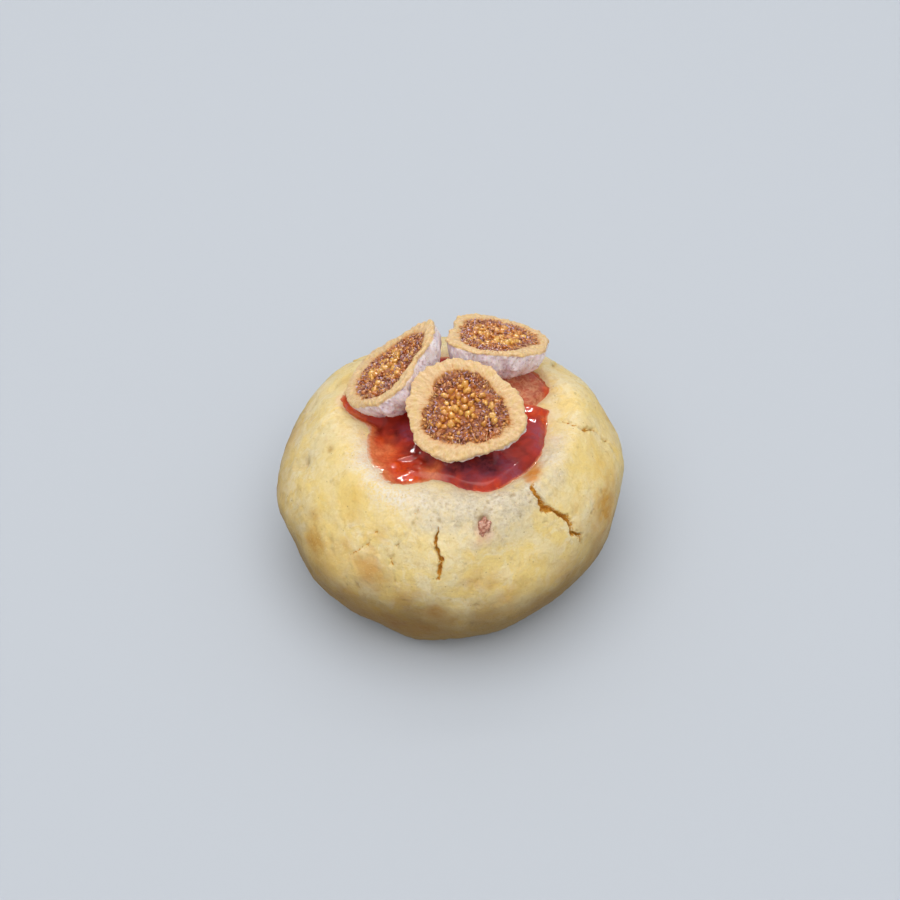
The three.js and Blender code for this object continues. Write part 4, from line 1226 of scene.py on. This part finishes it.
def scatter_tree(name, subdivisions, material):
    """Geometry nodes that scatter small round grains over a surface, in patches. Their long side
    follows the surface's attribute "outwards" as far as Turn lets it, and each grain has its own
    size, lean, depth, tone and unevenness."""
    tree = bpy.data.node_groups.new(name, "GeometryNodeTree")
    tree.is_modifier = True
    interface = tree.interface
    interface.new_socket("Geometry", in_out="INPUT", socket_type="NodeSocketGeometry")
    for key in ("Spacing", "Density", "Size", "Unevenness", "Sink", "Lift", "Turn", "Tilt", "Roughen",
                "Patches", "Least"):
        interface.new_socket(key, in_out="INPUT", socket_type="NodeSocketFloat")
    interface.new_socket("Stretch", in_out="INPUT", socket_type="NodeSocketVector")
    interface.new_socket("Seed", in_out="INPUT", socket_type="NodeSocketInt")
    interface.new_socket("Geometry", in_out="OUTPUT", socket_type="NodeSocketGeometry")

    def add(kind, inputs=None, **settings):
        return add_node(tree, kind, inputs, **settings).outputs

    def value(operation, first, second):
        return add_math(tree, operation, first, second)

    def vector(operation, inputs):
        return add("ShaderNodeVectorMath", inputs, operation=operation)[0]

    def random_vector(low, high):
        inputs = {0: low, 1: high, "Seed": given["Seed"]}
        return add("FunctionNodeRandomValue", inputs, data_type="FLOAT_VECTOR")[0]

    # The patches are about 2.6 mm across, and the unevenness of a grain about 0.5 mm.
    given = add("NodeGroupInput")
    patches = add("ShaderNodeTexNoise", {"W": given["Patches"], "Scale": 1 / (2.6 * MM)},
                  noise_dimensions="4D")["Fac"]
    share_here = add("ShaderNodeMapRange", {
        "Value": patches, "From Min": 0.4, "From Max": 0.54, "To Min": given["Least"]})["Result"]
    points = add("GeometryNodeDistributePointsOnFaces", {
        "Mesh": given["Geometry"], "Distance Min": given["Spacing"], "Density Max": given["Density"],
        "Density Factor": share_here, "Seed": given["Seed"]}, distribute_method="POISSON")
    grain = add("GeometryNodeMeshIcoSphere", {"Radius": 1, "Subdivisions": subdivisions})
    soft = add("GeometryNodeSetShadeSmooth", {"Geometry": grain["Mesh"]})

    outwards = add("GeometryNodeInputNamedAttribute", {"Name": "outwards"}, data_type="FLOAT_VECTOR")
    aimed = add("FunctionNodeAlignRotationToVector", {
        "Rotation": points["Rotation"], "Vector": outwards["Attribute"]}, axis="X", pivot_axis="Z")
    limits = add("ShaderNodeCombineXYZ", {"X": given["Tilt"], "Y": given["Tilt"], "Z": given["Turn"]})[0]
    back = vector("MULTIPLY", {0: limits, 1: (-1, -1, -1)})
    rotation = add("FunctionNodeRotateRotation", {
        "Rotation": aimed["Rotation"], "Rotate By": random_vector(back, limits)}, rotation_space="LOCAL")

    smallest = value("SUBTRACT", 1, given["Unevenness"])
    largest = value("ADD", 1, given["Unevenness"])
    stretched = vector("MULTIPLY", {0: random_vector(smallest, largest), 1: given["Stretch"]})
    grains = add("GeometryNodeInstanceOnPoints", {
        "Points": points["Points"], "Instance": soft["Geometry"], "Rotation": rotation["Rotation"],
        "Scale": vector("SCALE", {0: stretched, "Scale": given["Size"]})})
    level = add("FunctionNodeRandomValue", {2: -1.0, 3: 1.0, "Seed": given["Seed"]}, data_type="FLOAT")[1]
    height = value("ADD", value("MULTIPLY", level, given["Sink"]), given["Lift"])
    moved = add("GeometryNodeTranslateInstances", {
        "Instances": grains["Instances"], "Translation": add("ShaderNodeCombineXYZ", {"Z": height})[0]})

    tone = add("FunctionNodeRandomValue", {"Seed": given["Seed"]}, data_type="FLOAT")[1]
    toned = add("GeometryNodeStoreNamedAttribute", {
        "Geometry": moved["Instances"], "Name": "tone", "Value": tone}, data_type="FLOAT", domain="INSTANCE")
    real = add("GeometryNodeRealizeInstances", {"Geometry": toned["Geometry"]})
    lumps = add("ShaderNodeTexNoise", {"Scale": 1 / (0.5 * MM), "Detail": 3.0})["Fac"]
    push = value("MULTIPLY", value("SUBTRACT", lumps, 0.5), given["Roughen"])
    shift = vector("SCALE", {0: add("GeometryNodeInputNormal")["Normal"], "Scale": push})
    shaped = add("GeometryNodeSetPosition", {"Geometry": real["Geometry"], "Offset": shift})
    painted = add("GeometryNodeSetMaterial", {"Geometry": shaped["Geometry"], "Material": material})
    add("NodeGroupOutput", {"Geometry": painted["Geometry"]})
    return tree


def scattered(name, bed, tree, **values):
    """The grains that a scatter tree puts on a bed, as one plain mesh. The bed is used up."""
    modifier = bed.modifiers.new("scatter", "NODES")
    modifier.node_group = tree
    for item in tree.interface.items_tree:
        if item.in_out == "INPUT" and item.name in values:
            modifier[item.identifier] = values[item.name]
    evaluated = bed.evaluated_get(bpy.context.evaluated_depsgraph_get())
    mesh = bpy.data.meshes.new_from_object(evaluated)
    mesh.name = name
    bed.modifiers.remove(modifier)
    bpy.data.objects.remove(bed)
    return new_piece(name, mesh)


def pulp_bed(fig, inner, outer, height):
    """The part of a cut face between two shares of the pulp's reach, as an open sheet to scatter on."""
    angle = (2 * np.pi * np.arange(96) / 96)[None, :]
    rings = np.concatenate([placed(fig, oval_point(fig["pulp"], share_out, angle, height))
                            for share_out in np.linspace(inner, outer, 12)])
    index = np.arange(len(rings) * 96).reshape(len(rings), 96)
    mesh = bpy.data.meshes.new("bed")
    mesh.from_pydata((rings.reshape(-1, 3) * MM).tolist(), [], quads_between(index))
    set_attribute(mesh, "outwards", (rings - rings.mean(axis=(0, 1))).reshape(-1, 3))
    return new_piece("bed", mesh)


def fig_grains(number):
    """The seeds, shreds and fibres of one fig: (piece, bed's shares and height, settings)."""
    look = bpy.context.scene.cookie_figs
    seed = look.random_seed + 10 * number
    any_way = dict(Turn=math.pi, Tilt=1.2)
    return [
        ("seeds", (0.02, 0.72, -0.35), dict(
            any_way, Spacing=look.seed_spacing, Density=3e6, Size=look.seed_size, Unevenness=0.4,
            Sink=0.5 * MM, Lift=0, Stretch=(1.15, 0.95, 0.85), Roughen=1.2 * MM,
            Patches=seed * 1.7, Least=0.0, Seed=seed)),
        ("small_seeds", (0.2, 1.0, -0.3), dict(
            any_way, Spacing=0.62 * MM, Density=4e6, Size=0.36 * MM, Unevenness=0.45,
            Sink=0.4 * MM, Lift=-0.1 * MM, Stretch=(1.3, 0.9, 0.7), Roughen=1.0 * MM,
            Patches=seed * 1.7 + 0.5, Least=0.2, Seed=seed + 3)),
        ("shreds", (0.35, 1.04, -0.15), dict(
            any_way, Spacing=0.34 * MM, Density=1.2e7, Size=0.24 * MM, Unevenness=0.5,
            Sink=0.3 * MM, Lift=0.05 * MM, Stretch=(1.5, 0.6, 0.4), Roughen=0.4 * MM,
            Patches=seed * 1.7 + 3, Least=0.0, Seed=seed + 5)),
        ("fibres", (0.93, 1.12, 0), dict(
            Spacing=0.5 * MM, Density=3e6, Size=0.65 * MM, Unevenness=0.5, Sink=0.14 * MM,
            Lift=-0.1 * MM, Stretch=(1, 0.14, 0.12), Turn=0.7, Tilt=0.3, Roughen=0.2 * MM,
            Patches=seed * 1.7 + 6, Least=0.0, Seed=seed + 7)),
    ]


# ------------------------------------------------------------------ operators


class COOKIE_OT_stage(bpy.types.Operator):
    """Plain pale floor, soft light and the camera"""

    bl_idname = "cookie.stage"
    bl_label = "Floor, Light and Camera"

    def execute(self, context):
        scene = context.scene
        look = scene.cookie_stage
        mesh = bpy.data.meshes.new("floor")
        corners = [(x * FLOOR_REACH, y * FLOOR_REACH, 0) for x, y in ((-1, -1), (1, -1), (1, 1), (-1, 1))]
        mesh.from_pydata(corners, [], [(0, 1, 2, 3)])
        floor = new_piece("floor", mesh)
        floor.data.materials.append(Finish("plain_floor").finish(
            Base_Color=(*look.floor, 1), Roughness=0.85))

        # The sky is brighter overhead, and plain where the camera sees it behind the floor.
        world = scene.world or bpy.data.worlds.new("soft_light")
        scene.world = world
        world.use_nodes = True
        tree = world.node_tree
        direction = add_node(tree, "ShaderNodeTexCoord").outputs["Generated"]
        parts = add_node(tree, "ShaderNodeSeparateXYZ", {"Vector": direction})
        seen = add_node(tree, "ShaderNodeLightPath").outputs["Is Camera Ray"]
        rise = add_math(tree, "MAXIMUM", parts.outputs["Z"], 0)
        light = add_math(tree, "MULTIPLY", rise, look.zenith - look.horizon)
        light = add_math(tree, "ADD", light, look.horizon)
        unseen = add_math(tree, "MULTIPLY", light, add_math(tree, "SUBTRACT", 1, seen))
        light = add_math(tree, "ADD", unseen, add_math(tree, "MULTIPLY", seen, look.backdrop))
        sky = tree.nodes["Background"]
        sky.inputs["Color"].default_value = (*look.sky, 1)
        tree.links.new(light, sky.inputs["Strength"])

        def lamp(name, kind, place, aim, **settings):
            light = bpy.data.lights.new(name, kind)
            for key, value in settings.items():
                setattr(light, key, value)
            holder = new_piece(name, light)
            holder.location = place
            holder.rotation_euler = (Vector(aim) - holder.location).to_track_quat("-Z", "Y").to_euler()
            return holder

        lamp("sun", "SUN", (-0.03, -0.14, 0.6), (0, 0, 0), energy=look.sun, angle=math.radians(74))
        # A long strip behind the cookie, for the glints alone.
        strip = lamp("glint", "AREA", (-0.02, 0.22, 0.42), (0, 0, 0.035), shape="RECTANGLE",
                     size=0.36, size_y=0.02, energy=look.glint)
        strip.visible_diffuse = False

        camera = bpy.data.cameras.new("camera")
        camera.sensor_width = 36
        camera.lens = CAMERA_LENS
        camera.shift_y = CAMERA_SHIFT
        camera.clip_start = 0.01
        camera.clip_end = 10
        eye = new_piece("camera", camera)
        back, up = CAMERA_DISTANCE * math.cos(CAMERA_DOWN), CAMERA_DISTANCE * math.sin(CAMERA_DOWN)
        eye.location = (0, -back, CAMERA_AIM + up)
        eye.rotation_euler = Euler((math.pi / 2 - CAMERA_DOWN, 0, 0))
        scene.camera = eye
        scene.view_settings.view_transform = "Standard"
        return {"FINISHED"}


class COOKIE_OT_dough(bpy.types.Operator):
    """The cracked and browned dough"""

    bl_idname = "cookie.dough"
    bl_label = "Dough"

    def execute(self, context):
        piece = make_dough()
        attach(piece, BODY)
        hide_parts("dough")
        bit = make_fruit_bit()
        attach(bit, BODY)
        return {"FINISHED"}


class COOKIE_OT_jam(bpy.types.Operator):
    """The pool of jam in the thumbprint"""

    bl_idname = "cookie.jam"
    bl_label = "Jam"

    def execute(self, context):
        piece = make_jam()
        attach(piece, BODY)
        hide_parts("jam")
        return {"FINISHED"}


class COOKIE_OT_figs(bpy.types.Operator):
    """The three fig halves with their seeds"""

    bl_idname = "cookie.figs"
    bl_label = "Figs"

    def execute(self, context):
        look = context.scene.cookie_figs
        flesh_material = fig_finish()
        seeds = seed_finish("fig_seeds", look.seed_dark, look.seed_light)
        small_seeds = seed_finish("fig_small_seeds", look.small_dark, look.small_light)
        trees = {
            "seeds": scatter_tree("seed_scatter", 2, seeds),
            "small_seeds": scatter_tree("small_seed_scatter", 2, small_seeds),
            "shreds": scatter_tree("shred_scatter", 2, shred_finish()),
            "fibres": scatter_tree("fibre_scatter", 1, strand_finish()),
        }
        for number, fig in enumerate(FIGS):
            flesh = make_fig_flesh(fig)
            flesh.data.materials.append(flesh_material)
            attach(flesh, BODY)
            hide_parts(fig["name"])
            for key, bed, settings in fig_grains(number):
                grains = scattered(f"{fig['name']}_{key}", pulp_bed(fig, *bed), trees[key], **settings)
                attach(grains, BODY)
        return {"FINISHED"}


class COOKIE_PT_panel(bpy.types.Panel):
    """Lists the settings and the pieces"""

    bl_idname = "COOKIE_PT_panel"
    bl_label = "Fig Cookie"
    bl_space_type = "VIEW_3D"
    bl_region_type = "UI"
    bl_category = "Fig Cookie"

    def draw(self, context):
        for name, settings, operator in PARTS:
            box = self.layout.box()
            for key in settings.__annotations__:
                box.prop(getattr(context.scene, name), key)
            box.operator(operator.bl_idname)


PARTS = [
    ("cookie_stage", StageSettings, COOKIE_OT_stage),
    ("cookie_dough", DoughSettings, COOKIE_OT_dough),
    ("cookie_jam", JamSettings, COOKIE_OT_jam),
    ("cookie_figs", FigSettings, COOKIE_OT_figs),
]


def register():
    for name, settings, operator in PARTS:
        bpy.utils.register_class(settings)
        bpy.utils.register_class(operator)
        setattr(bpy.types.Scene, name, PointerProperty(type=settings))
    bpy.utils.register_class(COOKIE_PT_panel)


def unregister():
    bpy.utils.unregister_class(COOKIE_PT_panel)
    for name, settings, operator in reversed(PARTS):
        delattr(bpy.types.Scene, name)
        bpy.utils.unregister_class(operator)
        bpy.utils.unregister_class(settings)


def main():
    register()
    bpy.ops.cookie.stage()
    bpy.ops.cookie.dough()
    bpy.ops.cookie.jam()
    bpy.ops.cookie.figs()
    bpy.context.view_layer.update()


if __name__ == "__main__":
    main()
